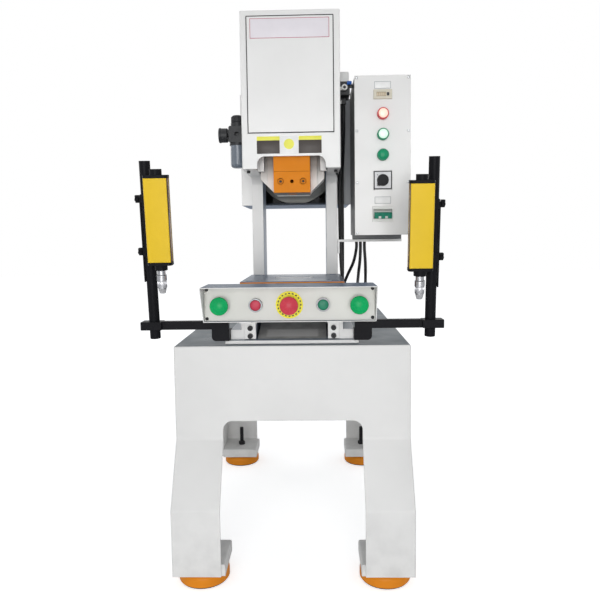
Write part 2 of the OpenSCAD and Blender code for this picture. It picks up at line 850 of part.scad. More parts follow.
module head_cover() {
    inner_w = head_w - 2 * cover_t;
    floor_cut = [cover_z - 1, jaw_z + 1];
    ledge = 8;
    color(paint) difference() {
        union() {
            difference() {
                block(span(0, head_w), [head_y, head_rear_y], [cover_z, head_top_z]);
                block(span(0, inner_w), [head_y + cover_t, head_rear_y + 1], [jaw_z, head_top_z - cover_t]);
                block(span(0, gap_w), [head_y + cover_t, head_rear_y + 1], floor_cut);
                block(span(0, inner_w), [column_y - throat_r - 1, head_rear_y + 1], floor_cut);
                front_slab([head_y - 1, head_y + cover_t + 1])
                    arch(cutout_w, [cover_z - 1, jaw_z + cutout_h], cutout_r);
                front_slab([head_y - 1, head_y + cover_t]) translate([0, panel_z])
                    square([panel_w + 2 * panel_gap, panel_h + 2 * panel_gap], center = true);
            }
            front_slab([head_y + cover_t, head_y + 2 * cover_t]) translate([0, panel_z]) difference() {
                square([panel_w + 2 * ledge, panel_h + 2 * ledge], center = true);
                square([panel_w - 2 * ledge, panel_h - 2 * ledge], center = true);
            }
        }
        for (s = [-1, 1])
            rod_z(s * hood_screw_x, cover_screw_y, [cover_z - 1, jaw_z + 1], m6 + hole_gap);
    }
}

module front_panel() {
    color(paint) front_slab([head_y - 1, head_y + cover_t]) translate([0, panel_z])
        rounded_rect(panel_w, panel_h, 2);
}

module rear_cover() {
    y = [column_rear_y, column_rear_y + rear_d];
    z = [rear_z, rear_z + rear_h];
    color(paint) {
        difference() {
            block(span(0, rear_w), y, z);
            block(span(0, rear_w - 2 * rear_t), [y[0] + rear_t, y[1] - rear_t],
                [z[0] + rear_t, z[1] - rear_t]);
            block(span(0, gap_w), [y[0] - 1, y[0] + rear_t + 1], [z[0] + rear_lip, z[1] - rear_lip]);
        }
        for (f = [0.3, 0.7]) difference() {
            block(span(0, tank_d * 0.6), span(y[0] + f * rear_d, 8), [z[0], z[0] + rear_lip + 28]);
            rod_y(0, tank_z, y, tank_d + 2 * seat_gap);
        }
    }
}

module air_tank() {
    r = tank_d / 2;
    dish_r = (r * r + tank_dish * tank_dish) / (2 * tank_dish);
    y = [column_rear_y + rear_t + 3 + tank_dish, column_rear_y + rear_d - rear_t - 8 - tank_dish];
    color(dark_grey) translate([0, 0, tank_z]) rotate([-90, 0, 0]) rotate_extrude() {
        translate([0, y[0]]) square([r, y[1] - y[0]]);
        intersection() {
            translate([0, y[0] - tank_dish]) square([r, tank_dish]);
            translate([0, y[0] - tank_dish + dish_r]) circle(dish_r, $fn = 200);
        }
        intersection() {
            translate([0, y[1]]) square([r, tank_dish]);
            translate([0, y[1] + tank_dish - dish_r]) circle(dish_r, $fn = 200);
        }
    }
}

module cylinder_barrel() {
    color(steel) translate([0, die_y, barrel_z]) difference() {
        cylinder(d = bore_d + 2 * barrel_wall, h = barrel_h);
        translate([0, 0, -1]) cylinder(d = bore_d, h = barrel_h + 2);
    }
}

module cylinder_caps() {
    color(dark_grey) difference() {
        for (z = [cap_low_z, cap_top_z])
            translate([0, die_y, z]) linear_extrude(cap_t) rounded_rect(cap_w, cap_w, 8);
        rod_z(0, die_y, [cap_low_z - 1, barrel_z + 1], rod_d + 2 * running_fit);
        tie_rod_places() rod_z(0, 0, [cap_low_z - 1, cap_top_z + cap_t + 1], tie_d + hole_gap);
    }
}

module tie_rods() {
    top = cap_top_z + cap_t;
    color(steel) tie_rod_places() {
        rod_z(0, 0, [seat_z - tie_nut_h, top + tie_nut_h + 2], tie_d);
        translate([0, 0, top]) cylinder(d = tie_nut_d, h = tie_nut_h, $fn = 6);
        translate([0, 0, seat_z - tie_nut_h]) cylinder(d = tie_nut_d, h = tie_nut_h, $fn = 6);
    }
}

module piston() {
    piston_d = bore_d - 2 * slide_gap;
    color(steel) translate([0, die_y, piston_z]) difference() {
        cylinder(d = piston_d, h = piston_t);
        translate([0, 0, -1]) cylinder(d = rod_neck_d, h = piston_t + 2);
        for (z = span(piston_t / 2, piston_t / 2)) translate([0, 0, z - seal_w / 2]) difference() {
            cylinder(d = bore_d, h = seal_w);
            cylinder(d = piston_d - 2 * seal_depth, h = seal_w);
        }
    }
}

module piston_seals() {
    color(black) for (z = span(piston_z + piston_t / 2, piston_t / 2))
        translate([0, die_y, z - seal_w / 2]) difference() {
            cylinder(d = bore_d - 2 * running_fit, h = seal_w);
            translate([0, 0, -1]) cylinder(d = bore_d - 2 * slide_gap - 2 * seal_depth, h = seal_w + 2);
        }
}

module piston_rod() {
    color(steel) {
        rod_z(0, die_y, [ram_top_z - rod_socket, piston_z], rod_d);
        rod_z(0, die_y, [piston_z, piston_z + piston_t], rod_neck_d);
    }
}

module ram() {
    color(orange) difference() {
        union() {
            block(span(0, ram_w), [ram_y, tongue_y + tongue_d], [ram_z, ram_top_z]);
            block(span(0, tongue_w), [tongue_y, tongue_y + tongue_d], [tongue_low, ram_top_z]);
        }
        block(span(0, ram_w + 2), [ram_y - 1, ram_y + clamp_t], [ram_z - 1, ram_z + clamp_h]);
        rod_z(0, die_y, [ram_z - 1, ram_z + shank_depth], shank_d);
        rod_z(0, die_y, [ram_top_z - rod_socket, ram_top_z + 1], rod_d);
        rod_y(0, clamp_screw_z, [ram_y, die_y], set_screw_d);
        for (x = span(0, clamp_pitch))
            rod_y(x, clamp_screw_z, [ram_y + clamp_t - 1, ram_y + clamp_t + 2 * m8], m8 + hole_gap);
    }
}

module punch_clamp() {
    y = [ram_y, ram_y + clamp_t];
    color(orange) difference() {
        block(span(0, ram_w), y, [ram_z, ram_z + clamp_h]);
        rod_y(0, clamp_screw_z, [y[0] - 1, y[1] + 1], set_screw_d);
        for (x = span(0, clamp_pitch)) {
            rod_y(x, clamp_screw_z, [y[0] - 1, y[1] + 1], m8 + hole_gap);
            rod_y(x, clamp_screw_z, [y[0] - 1, y[0] + m8 + 1], 2.1 * m8);
        }
    }
}

module clamp_screws() {
    color(black) for (x = span(0, clamp_pitch))
        facing_front(x, ram_y + m8 + 1, clamp_screw_z) socket_screw(m8, clamp_t + m8 - 2);
}

module guide_outline() {
    half = guide_w / 2;
    polygon([[-half, guide_z + guide_chamfer], [-half + guide_chamfer, guide_z],
        [half - guide_chamfer, guide_z], [half, guide_z + guide_chamfer],
        [half, guide_top_z], [-half, guide_top_z]]);
}

module guide_block() {
    color(paint) difference() {
        front_slab([guide_y, guide_y + guide_d]) guide_outline();
        block(span(0, tongue_w + 2 * slide_gap), [guide_y - 1, tongue_y + tongue_d + slide_gap],
            [guide_z - 1, guide_top_z + 1]);
    }
}

module gib_strips() {
    inner = ram_w / 2 + slide_gap;
    color(paint) intersection() {
        front_slab([guide_y - gib_t, guide_y]) guide_outline();
        both_x() block([inner, inner + gib_w], [guide_y - gib_t, guide_y], [guide_z - 1, guide_top_z + 1]);
    }
}

module solenoid_valve() {
    x = head_w / 2;
    y = [valve_y, valve_y + valve_d];
    z = valve_z;
    top = z + valve_h;
    coil_y = [y[0] + 2, y[0] + 2 + coil_d];
    color(steel) {
        block([x, x + valve_w], y, [z, top]);
        side_slab([x + 3, x + valve_w - 3]) polygon([[coil_y[0], z + 1], [coil_y[1], z + 1],
            [coil_y[1], top + coil_h - coil_chamfer], [coil_y[1] - coil_chamfer, top + coil_h],
            [coil_y[0] + coil_chamfer, top + coil_h], [coil_y[0], top + coil_h - coil_chamfer]]);
        rod_y(x + valve_w / 2, z + valve_h / 2, [y[0] - valve_port_l, y[0] + 1], valve_port_d);
        block([x + 0.5, x + trunk_x[1] + 6], span(trunk_start_y, gland_d), [z - gland_h, z]);
    }
}

module air_hose() {
    color([0.15, 0.35, 0.75]) swept_tube(smooth_route(hose_route, 1), hose_d, [0, 0, 1], cable_sides);
}

module regulator_body() {
    half = frl_w / 2;
    color(black) difference() {
        union() {
            front_slab(span(frl_y, frl_w)) translate([frl_x, frl_z]) rounded_rect(frl_w, frl_w, 5);
            block([frl_x + half, -head_w / 2], span(frl_y, frl_w - 10), span(frl_z, frl_w - 10));
            rod_z(frl_x, frl_y, [frl_z + half, frl_z + half + 10], frl_knob_d + 2);
            rod_z(frl_x, frl_y, [frl_z - half - 6, frl_z - half], bowl_d + 4);
            rod_y(frl_x, frl_z, [frl_y + half, hose_y], 1.75 * hose_d);
        }
        rod_y(frl_x, frl_z, [frl_y - half - 1, frl_y - half + 14], inlet_d);
        rod_z(frl_x, frl_y, [frl_z + half + 2, frl_z + half + 11], stem_d + 2 * running_fit);
    }
}

module regulator_knob() {
    z = frl_z + frl_w / 2 + 10;
    color(black) {
        difference() {
            rod_z(frl_x, frl_y, [z + seat_gap, z + 20], frl_knob_d);
            for (a = [0:20:340]) translate([frl_x, frl_y, z + 3]) rotate(a)
                translate([frl_knob_d / 2 + 0.4, 0, 0]) cylinder(d = 2.4, h = 20, $fn = 16);
        }
        rod_z(frl_x, frl_y, [z - 6, z + 1], stem_d);
    }
}

module filter_bowl() {
    r = bowl_d / 2;
    wall = 3;
    top = frl_z - frl_w / 2 - 6;
    color([0.5, 0.52, 0.55]) translate([frl_x, frl_y, top - bowl_h]) rotate_extrude() difference() {
        union() {
            translate([0, 10]) square([r, bowl_h - 10]);
            square([r - 10, bowl_h]);
            translate([r - 10, 10]) circle(10);
        }
        translate([0, 10 + wall]) square([r - wall, bowl_h]);
    }
}

module pressure_gauge() {
    x = frl_x - frl_w / 2;
    color(black) {
        rod_x(frl_y, frl_z, [x - 4, x], 10);
        difference() {
            rod_x(frl_y, frl_z, [x - 28, x - 4], gauge_d);
            rod_x(frl_y, frl_z, [x - 29, x - 26], gauge_d - 5);
        }
    }
}

module panel_corners() {
    for (x = span(0, box_w - 2 * panel_margin), z = span(box_mid_z, box_h - 2 * panel_margin))
        translate([x, 0, z]) children();
}

module control_box() {
    y = [box_y, box_y + box_d];
    inner = span(box_mid_z, box_h - 2 * box_t);
    tab = panel_margin + 6;
    color(paint) difference() {
        union() {
            difference() {
                union() {
                    block(span(0, box_w), y, [box_z, box_z + box_h]);
                    side_slab(span(0, box_w)) polygon([[y[0], box_z], [y[0] - hood_low, box_z],
                        [y[0] - hood_reach, box_z + box_h], [y[0], box_z + box_h]]);
                }
                block(span(0, box_w - 2 * box_t), [y[0] - hood_reach - 1, y[1] - box_t], inner);
            }
            intersection() {
                block(span(0, box_w - box_t), [y[0] + box_t, y[0] + 2 * box_t],
                    span(box_mid_z, box_h - box_t));
                panel_corners() block(span(0, 2 * tab), [y[0], y[1]], span(0, 2 * tab));
            }
        }
        panel_corners() rod_y(0, 0, [y[0] - 1, y[0] + 3 * box_t], m4 + hole_gap);
    }
}

module button_holes(y) {
    for (x = [-palm_x, -push_x, 0, push_x, palm_x]) rod_y(x, button_z, y, neck_d + hole_gap);
}

module control_panel() {
    y = [box_y, box_y + box_t];
    edge = 2 * (box_t + box_panel_gap);
    color(paint) difference() {
        front_slab(y) translate([0, box_mid_z]) square([box_w - edge, box_h - edge], center = true);
        button_holes([y[0] - 1, y[1] + 1]);
        panel_corners() rod_y(0, 0, [y[0] - 1, y[1] + 1], m4 + hole_gap);
    }
}

module control_box_brackets() {
    color(paint) difference() {
        both_x() {
            block(span(bracket_x, bracket_w), [bed_y - bracket_t, bed_y], [base_z + 1, box_z]);
            block(span(bracket_x, bracket_w), [box_y + 20, bed_y], [box_z - bracket_t, box_z]);
        }
        for (x = [-bracket_x, bracket_x], z = bracket_screw_z)
            rod_y(x, z, [bed_y - bracket_t - 1, bed_y + 1], m8 + hole_gap);
    }
}

// Mushroom head with its stem, pointing at the operator
module mushroom(x, under, d, stem, stem_l) {
    facing_front(x, box_y - under, button_z) {
        crowned_disc(d, head_rim, head_crown);
        translate([0, 0, -stem_l]) cylinder(d = stem, h = stem_l);
    }
}

module left_palm_button() {
    color(green) mushroom(-palm_x, palm_under, palm_d, palm_stem_d, palm_under + 15);
}

module right_palm_button() {
    color(green) mushroom(palm_x, palm_under, palm_d, palm_stem_d, palm_under + 15);
}

// Small button whose cap slides in its bezel
module push_button(x) {
    facing_front(x, box_y - push_travel - 1, button_z) {
        crowned_disc(push_d - 2 * seat_gap, 5, 1.5);
        translate([0, 0, -14]) cylinder(d = stem_d, h = 14);
    }
}

module start_button() {
    color([0.10, 0.45, 0.33]) push_button(push_x);
}

module stop_button() {
    color(red) push_button(-push_x);
}

module estop_button() {
    color(red) mushroom(0, estop_under, estop_d, palm_stem_d, estop_under + 15);
}

module estop_disc() {
    color([0.93, 0.88, 0.10]) difference() {
        rod_y(0, button_z, [box_y - estop_disc_t, box_y], disc_d);
        rod_y(0, button_z, [box_y - 5, box_y + 1], neck_d + hole_gap);
    }
}

// Bezel in front of the panel, threaded neck through it and contact block behind it
module button_body(x, seat, bore) {
    difference() {
        union() {
            rod_y(x, button_z, [box_y - seat - bezel_h, box_y - seat], bezel_d);
            rod_y(x, button_z, [box_y - seat, box_y + 8], neck_d);
            block(span(x, bezel_d), [box_y + box_t, box_y + contact_l], span(button_z, bezel_d));
        }
        rod_y(x, button_z, [box_y - seat - bezel_h - 1, box_y + stem_bore_l], bore + 2 * running_fit);
        children();
    }
}

module button_bodies() {
    color(steel) {
        for (x = [-palm_x, palm_x]) button_body(x, 0, palm_stem_d);
        button_body(0, estop_disc_t, palm_stem_d);
        for (x = [-push_x, push_x]) button_body(x, 0, stem_d)
            rod_y(x, button_z, [box_y - bezel_h - 1, box_y - 0.5], push_d);
    }
}

module door_screw_places() {
    for (x = door_screw_x, z = door_screw_z) translate([x, 0, z]) children();
}

module panel_screws() {
    color(steel) {
        panel_corners() facing_front(0, box_y, 0) pan_screw(m4, 3 * box_t);
        door_screw_places() facing_front(0, cab_y, 0) pan_screw(m4, 3 * cab_t);
    }
}

module socket_screws() {
    color(black) {
        for (x = [-bracket_x, bracket_x], z = bracket_screw_z)
            facing_front(x, bed_y - bracket_t, z) socket_screw(m8, bracket_t + m8);
        for (s = [-1, 1]) {
            translate([s * hood_screw_x, cover_screw_y, cover_z]) rotate([180, 0, 0])
                socket_screw(m6, m10 + cover_t);
            for (y = bolster_screw_y) translate([s * bolster_screw_x, y, bolster_z - m12 - 2])
                socket_screw(m12, bolster_t - 2);
            translate([s * base_screw_x, base_screw_y, base_z]) socket_screw(m10, flange_t);
        }
    }
}

module cabinet_body() {
    x = [cab_x, cab_x + cab_w];
    y = [cab_y + cab_t, cab_rear_y];
    z = [cab_z, cab_top_z];
    inner_y = y[1] - cab_t;
    color(dark_grey) difference() {
        union() {
            difference() {
                block(x, y, z);
                block([x[0] + cab_t, x[1] - cab_t], [y[0] + cab_t, inner_y], [z[0] + cab_t, z[1] - cab_t]);
                block([x[0] + cab_flange, x[1] - cab_flange], [y[0] - 1, inner_y],
                    [z[0] + cab_flange, z[1] - cab_flange]);
            }
            block([x[0] + 3, x[1] - 3], [column_y, column_y + bar_d], [cab_z - bar_drop, cab_z]);
            for (gland_x = cab_gland_x) rod_z(gland_x, cab_gland_y, [cab_z - gland_h, cab_z], gland_d);
        }
        door_screw_places() rod_y(0, 0, [y[0] - 1, y[0] + 2 * cab_t], m4 + hole_gap);
    }
}

module cabinet_door() {
    y = [cab_y, cab_y + cab_t];
    cut = [y[0] - 1, y[1] + 1];
    color(paint) difference() {
        block([cab_x, cab_x + cab_w], y, [cab_z, cab_top_z]);
        door_screw_places() rod_y(0, 0, cut, m4 + hole_gap);
        for (z = lamp_z) rod_y(cab_mid_x, z, cut, neck_d + hole_gap);
        rod_y(cab_mid_x, selector_z, cut, stem_d + hole_gap);
        block(span(cab_mid_x, breaker_w + hole_gap), cut, span(breaker_z, breaker_h + hole_gap));
        block(span(cab_mid_x, counter_w - counter_rim + 2 + hole_gap), cut,
            span(counter_z, counter_h - counter_rim + 2 + hole_gap));
    }
}

module cabinet_brackets() {
    bar_z = cab_z - bar_drop;
    bar_y = [column_y, column_y + bar_d];
    top_y = span(hanger_y, hanger_w);
    color(paint) {
        block([frame_w / 2, cab_x + cab_w - cab_t], bar_y, [bar_z - bar_h, bar_z]);
        block([frame_w / 2, frame_w / 2 + bar_foot_t], bar_y, [bar_z - bar_foot_h, bar_z]);
        block([head_w / 2, hanger_x], top_y, [cab_top_z, cab_top_z + hanger_t]);
        block([head_w / 2, head_w / 2 + hanger_t], top_y, [cab_top_z, cab_top_z + hanger_h]);
    }
}

module wiring_duct() {
    x = [duct_x, duct_x + duct_w];
    y = [column_rear_y - duct_d, column_rear_y];
    color(dark_grey) difference() {
        block(x, y, [rear_z, duct_top_z]);
        block([x[0] + duct_t, x[1] - duct_t], [y[0] + duct_t, y[1] - duct_t], [rear_z - 1, duct_top_z + 1]);
    }
}

module stroke_counter() {
    tail_w = counter_w - counter_rim + 2;
    tail_h = counter_h - counter_rim + 2;
    color([0.80, 0.76, 0.66]) {
        difference() {
            block(span(cab_mid_x, counter_w), [cab_y - counter_t, cab_y], span(counter_z, counter_h));
            block(span(cab_mid_x, counter_w - 2 * counter_rim), span(cab_y - counter_t, 2),
                span(counter_z, counter_h - 2 * counter_rim));
        }
        block(span(cab_mid_x, tail_w), [cab_y - 1, cab_y + counter_depth], span(counter_z, tail_h));
    }
}

module pilot_lamps() {
    color(green) for (z = lamp_z) {
        rod_y(cab_mid_x, z, [cab_y - lamp_t, cab_y], lamp_d);
        facing_front(cab_mid_x, cab_y - lamp_t, z) crowned_disc(lamp_d - 5, lens_t, lens_t);
        rod_y(cab_mid_x, z, [cab_y - 1, cab_y + cab_t + 8], neck_d);
        rod_y(cab_mid_x, z, [cab_y + cab_t, cab_y + lamp_depth], lamp_d - 2);
    }
}

module selector_plate() {
    color(steel) difference() {
        union() {
            front_slab([cab_y - 3, cab_y]) translate([cab_mid_x, selector_z])
                rounded_rect(selector_w, selector_w, 3);
            rod_y(cab_mid_x, selector_z, [cab_y, cab_y + 5], stem_d);
            block(span(cab_mid_x, selector_w - 8), [cab_y + cab_t, cab_y + 55],
                span(selector_z, selector_w - 8));
        }
        rod_y(cab_mid_x, selector_z, [cab_y - 4, cab_y + 30], 8 + 2 * running_fit);
    }
}

module selector_knob() {
    face = cab_y - 3;
    lever_l = 0.7 * knob_d;
    color(black) {
        rod_y(cab_mid_x, selector_z, [face - 12, face - seat_gap], knob_d);
        rod_y(cab_mid_x, selector_z, [face - 1, face + 25], 8);
        front_slab([face - 16, face - 5]) translate([cab_mid_x, selector_z]) rotate(225) {
            translate([0, -lever_w / 2]) square([lever_l - lever_w / 2, lever_w]);
            translate([lever_l - lever_w / 2, 0]) circle(d = lever_w);
            circle(d = lever_w + 6);
        }
    }
}

module breaker_body() {
    slot_x = span(cab_mid_x, breaker_w - 5);
    color([0.88, 0.88, 0.86]) difference() {
        union() {
            block(span(cab_mid_x, breaker_w), [cab_y - 3, cab_y + 5], span(breaker_z, breaker_h));
            block(span(cab_mid_x, breaker_w), [cab_y + cab_t, cab_y + 60], span(breaker_z, 72));
        }
        block(slot_x, [cab_y - 4, toggle_y + toggle_d / 2 + 1], span(breaker_z, toggle_d + 7));
        rod_x(toggle_y, breaker_z, span(cab_mid_x, breaker_w - 1), pin_d + 2 * running_fit);
    }
}

module breaker_toggle() {
    bar_w = breaker_w - 7;
    handle_w = bar_w - 2;
    finger_w = handle_w / 3 - 5;
    color(green) translate([cab_mid_x, toggle_y, breaker_z]) {
        rod_x(0, 0, span(0, bar_w), toggle_d);
        rod_x(0, 0, span(0, bar_w + 5), pin_d);
        rotate([toggle_rest, 0, 0]) {
            block(span(0, handle_w), [-19, -5], span(2, 9));
            for (i = [-1:1])
                block(span(i * (handle_w - finger_w - 1) / 2, finger_w), [-21, -4], span(-2.5, 12));
        }
    }
}

module control_cables() {
    color(black) for (r = control_routes)
        swept_tube(smooth_route(r, control_steps), cable_d, [1, 0, 0], cable_sides);
}

module trunk_cables() {
    color(black) for (r = trunk_routes)
        swept_tube(smooth_route(r, trunk_steps), cable_d, [0, 1, 0], cable_sides);
}

// Frame of one leaning post: origin on the arm's axis, +Z along the post
module leaned() {
    translate([0, arm_y, arm_z]) rotate([post_lean, 0, 0]) children();
}

module curtain_arms() {
    clamp = [arm_span / 2 - arm_clamp_w, arm_span / 2];
    color(black) both_x() difference() {
        union() {
            block([arm_x, clamp[0] + 5], span(arm_y, arm_w), span(arm_z, arm_w));
            block(clamp, span(arm_y, post_d + 10), span(arm_z, arm_w));
            front_slab(span(arm_y, arm_w)) {
                translate([plinth_w / 2, base_z]) square([arm_foot_w - arm_foot_r, plinth_h + arm_rise]);
                translate([plinth_w / 2, base_z + arm_foot_r])
                    square([arm_foot_w, plinth_h + arm_rise - arm_foot_r]);
                translate([plinth_w / 2 + arm_foot_w - arm_foot_r, base_z + arm_foot_r]) circle(arm_foot_r);
            }
            block([plinth_w / 2, plinth_w / 2 + arm_toe_t], [arm_y, bed_y + arm_toe_l], [base_z, plinth_z]);
        }
        leaned() rod_z(post_x, 0, [-50, 50], post_d + 2 * stem_gap);
    }
}

module curtain_posts() {
    color(black) both_x() leaned() rod_z(post_x, 0, [-post_below, post_top], post_d);
}

// Light curtain housing: hollow extrusion with its optics slot on the inner side, for the post at +X
module curtain_housing(z) {
    inner_x = housing_x - housing_w / 2;
    color(yellow) leaned() difference() {
        translate([housing_x, housing_y, z - housing_h / 2]) linear_extrude(housing_h)
            rounded_rect(housing_w, housing_d, 4);
        block([inner_x - 1, inner_x + window_t], span(housing_y, housing_d - 2 * optics_edge),
            span(z, housing_h + 2));
        translate([housing_x + window_t / 2, housing_y, z - housing_h / 2 - 1])
            linear_extrude(housing_h + 2)
                rounded_rect(housing_w - window_t - 2 * housing_wall, housing_d - 2 * housing_wall, 2);
    }
}

// End caps, strip, collars and star knobs that hold a housing on the post at +X
module curtain_fittings(z) {
    rear = housing_y + housing_d / 2;
    low = z - housing_h / 2;
    high = z + housing_h / 2;
    collar_d = post_d + 2 * collar_wall;
    color(black) leaned() difference() {
        union() {
            for (cap = [low - end_cap_h, high]) translate([housing_x, housing_y, cap])
                linear_extrude(end_cap_h) rounded_rect(housing_w + 2, housing_d + 2, 8);
            rod_z(housing_x, housing_y, [high, high + end_cap_h + 13], 27);
            rod_z(housing_x, housing_y, [low - end_cap_h - 12, low], connector_d + 6);
            for (dz = span(z + collar_z, collar_pitch)) {
                rod_z(post_x, 0, span(dz, collar_h), collar_d);
                block([post_x - post_d / 2 - 4, post_x + 3], [rear, 0], span(dz, collar_h));
                rod_x(0, dz, [post_x, post_x + collar_d / 2 + 4], 8);
                translate([post_x + collar_d / 2 + 2, 0, dz]) rotate([0, 90, 0])
                    linear_extrude(9) star_knob();
            }
            block([post_x + post_d / 2 + 0.5, post_x + collar_d / 2 + 1], span(0, 14),
                [z + collar_z - collar_pitch / 2 - 72, z + collar_z + collar_pitch / 2]);
        }
        rod_z(post_x, 0, [low - 100, high + 60], post_d + 2 * slide_gap);
    }
}

// Five-lobed star knob
module star_knob() {
    circle(d = 13);
    for (a = [0:72:288]) rotate(a) translate([6, 0]) circle(d = 7);
}

// Round plug connector under a housing, for the post at +X
module curtain_connector(z) {
    top = z - housing_h / 2 - end_cap_h - 12;
    color(steel) leaned() {
        rod_z(housing_x, housing_y, [top - 10, top], connector_d - 4);
        rod_z(housing_x, housing_y, [top - 24, top - 10], connector_d);
        translate([housing_x, housing_y, top - 42]) cylinder(d = connector_d - 1, h = 18, $fn = 12);
        translate([housing_x, housing_y, top - connector_l])
            cylinder(d1 = connector_d - 10, d2 = connector_d - 4, h = connector_l - 42);
    }
}

module left_curtain_housing() { mirror([1, 0, 0]) curtain_housing(left_housing_z); }

module right_curtain_housing() { curtain_housing(right_housing_z); }

module left_curtain_fittings() { mirror([1, 0, 0]) curtain_fittings(left_housing_z); }

module right_curtain_fittings() { curtain_fittings(right_housing_z); }

module left_curtain_connector() { mirror([1, 0, 0]) curtain_connector(left_housing_z); }

module right_curtain_connector() { curtain_connector(right_housing_z); }

stand();
mount_caps();
mount_rubbers();
levelling_bolts();
press_frame();
bolster_plate();
scrap_chute();
head_cover();
front_panel();
rear_cover();
air_tank();
cylinder_barrel();
cylinder_caps();
tie_rods();
piston();
piston_seals();
piston_rod();
ram();
punch_clamp();
clamp_screws();
guide_block();
gib_strips();
solenoid_valve();
air_hose();
regulator_body();
regulator_knob();
filter_bowl();
pressure_gauge();
control_box();
control_panel();
control_box_brackets();
left_palm_button();
right_palm_button();
start_button();
stop_button();
estop_button();
estop_disc();
button_bodies();
panel_screws();
socket_screws();
cabinet_body();
cabinet_door();
cabinet_brackets();
wiring_duct();
stroke_counter();
pilot_lamps();
selector_plate();
selector_knob();
breaker_body();
breaker_toggle();
control_cables();
trunk_cables();
curtain_arms();
curtain_posts();
left_curtain_housing();
right_curtain_housing();
left_curtain_fittings();
right_curtain_fittings();
left_curtain_connector();
right_curtain_connector();
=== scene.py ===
import math

import bmesh
import bpy
from mathutils import Matrix, Vector


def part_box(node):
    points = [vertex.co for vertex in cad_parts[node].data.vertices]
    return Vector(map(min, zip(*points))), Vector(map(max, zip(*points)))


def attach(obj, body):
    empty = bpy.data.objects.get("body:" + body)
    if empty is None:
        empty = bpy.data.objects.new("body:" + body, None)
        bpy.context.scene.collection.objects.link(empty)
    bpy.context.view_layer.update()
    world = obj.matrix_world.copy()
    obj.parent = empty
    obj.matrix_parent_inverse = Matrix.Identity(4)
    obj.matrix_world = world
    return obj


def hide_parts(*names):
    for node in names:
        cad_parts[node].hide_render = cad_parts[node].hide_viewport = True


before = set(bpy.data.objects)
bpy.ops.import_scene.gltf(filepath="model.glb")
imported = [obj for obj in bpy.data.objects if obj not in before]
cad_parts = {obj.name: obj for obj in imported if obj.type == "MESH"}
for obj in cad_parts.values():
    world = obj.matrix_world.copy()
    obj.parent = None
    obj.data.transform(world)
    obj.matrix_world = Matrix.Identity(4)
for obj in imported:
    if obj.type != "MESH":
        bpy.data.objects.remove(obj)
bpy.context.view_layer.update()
scene = bpy.context.scene
scene.view_settings.view_transform = "Standard"

# Camera: it stands in front of the press at chest height, turned a little to the left and tipped down.
# Its place, tilt and lens follow the press's straight edges and its buttons of known size.
eye = Vector((0.058, -1.7302, 0.8123))
yaw, pitch, roll = (math.radians(a) for a in (1.494, 4.726, 0.738))
focal_px, centre_px, frame_px, sensor_mm = 599.77, 285.4, 600, 36
level_right = Vector((math.cos(yaw), math.sin(yaw), 0))
ahead = Vector((-math.sin(yaw) * math.cos(pitch), math.cos(yaw) * math.cos(pitch), -math.sin(pitch)))
level_up = level_right.cross(ahead)
tilted_right = level_right * math.cos(roll) - level_up * math.sin(roll)
tilted_up = level_right * math.sin(roll) + level_up * math.cos(roll)
tilt = Matrix((tilted_right, tilted_up, -ahead)).transposed()
camera = bpy.data.objects.new("camera", bpy.data.cameras.new("camera"))
camera.matrix_world = Matrix.Translation(eye) @ tilt.to_4x4()
camera.data.sensor_width = sensor_mm
camera.data.sensor_fit = "HORIZONTAL"
camera.data.lens = sensor_mm * focal_px / frame_px
camera.data.shift_y = (centre_px - frame_px / 2) / frame_px
scene.collection.objects.link(camera)
scene.camera = camera


# Studio: a white sweep and soft white fill all round, as for a catalogue picture.
# Rays from the camera and from shiny surfaces meet plain white; the rest get a calmer fill light.
def join(tree, node, inputs):
    """Sets a node's inputs to values, or joins them to outputs of other nodes; returns its own outputs."""
    for key, value in inputs.items():
        if isinstance(value, bpy.types.NodeSocket):
            tree.links.new(value, node.inputs[key])
        else:
            node.inputs[key].default_value = value
    return node.outputs


def add(tree, kind, inputs=None, operation=None):
    """A new node with its inputs set or joined; returns its outputs."""
    node = tree.nodes.new(kind)
    if operation:
        node.operation = operation
    return join(tree, node, inputs or {})


world = bpy.data.worlds.new("studio")
world.use_nodes = True
scene.world = world
sky = world.node_tree
sky.nodes.clear()
ray = add(sky, "ShaderNodeLightPath")
mirrored = add(sky, "ShaderNodeMath", {0: ray["Is Glossy Ray"], 1: ray["Is Transmission Ray"]}, "MAXIMUM")
seen = add(sky, "ShaderNodeMath", {0: ray["Is Camera Ray"], 1: mirrored[0]}, "MAXIMUM")
fill_light = add(sky, "ShaderNodeBackground", {"Color": (0.93, 0.96, 1.0, 1), "Strength": 0.38})
white_sweep = add(sky, "ShaderNodeBackground", {"Color": (1, 1, 1, 1), "Strength": 1.0})
sweep_mix = add(sky, "ShaderNodeMixShader", {0: seen[0], 1: fill_light[0], 2: white_sweep[0]})
add(sky, "ShaderNodeOutputWorld", {"Surface": sweep_mix[0]})

for name, place, aim_z, size, power in (
        ("front_light", (-0.05, -3.6, 0.85), 0.7, 2.0, 63), ("key_light", (-1.7, -3.0, 2.4), 0.75, 2.2, 3),
        ("top_light", (0.0, -0.4, 3.4), 0.9, 1.8, 5), ("right_light", (2.6, -1.0, 1.3), 0.8, 2.0, 7),
        ("left_light", (-2.6, -1.0, 1.3), 0.8, 2.0, 7), ("rear_right_light", (2.7, 2.3, 1.2), 0.8, 2.0, 16),
        ("rear_left_light", (-2.7, 2.3, 1.2), 0.8, 2.0, 16)):
    soft_box = bpy.data.lights.new(name, "AREA")
    soft_box.shape = "SQUARE"
    soft_box.size = size
    soft_box.energy = power
    holder = bpy.data.objects.new(name, soft_box)
    holder.location = place
    holder.rotation_euler = (Vector((0, 0, aim_z)) - Vector(place)).to_track_quat("-Z", "Y").to_euler()
    scene.collection.objects.link(holder)


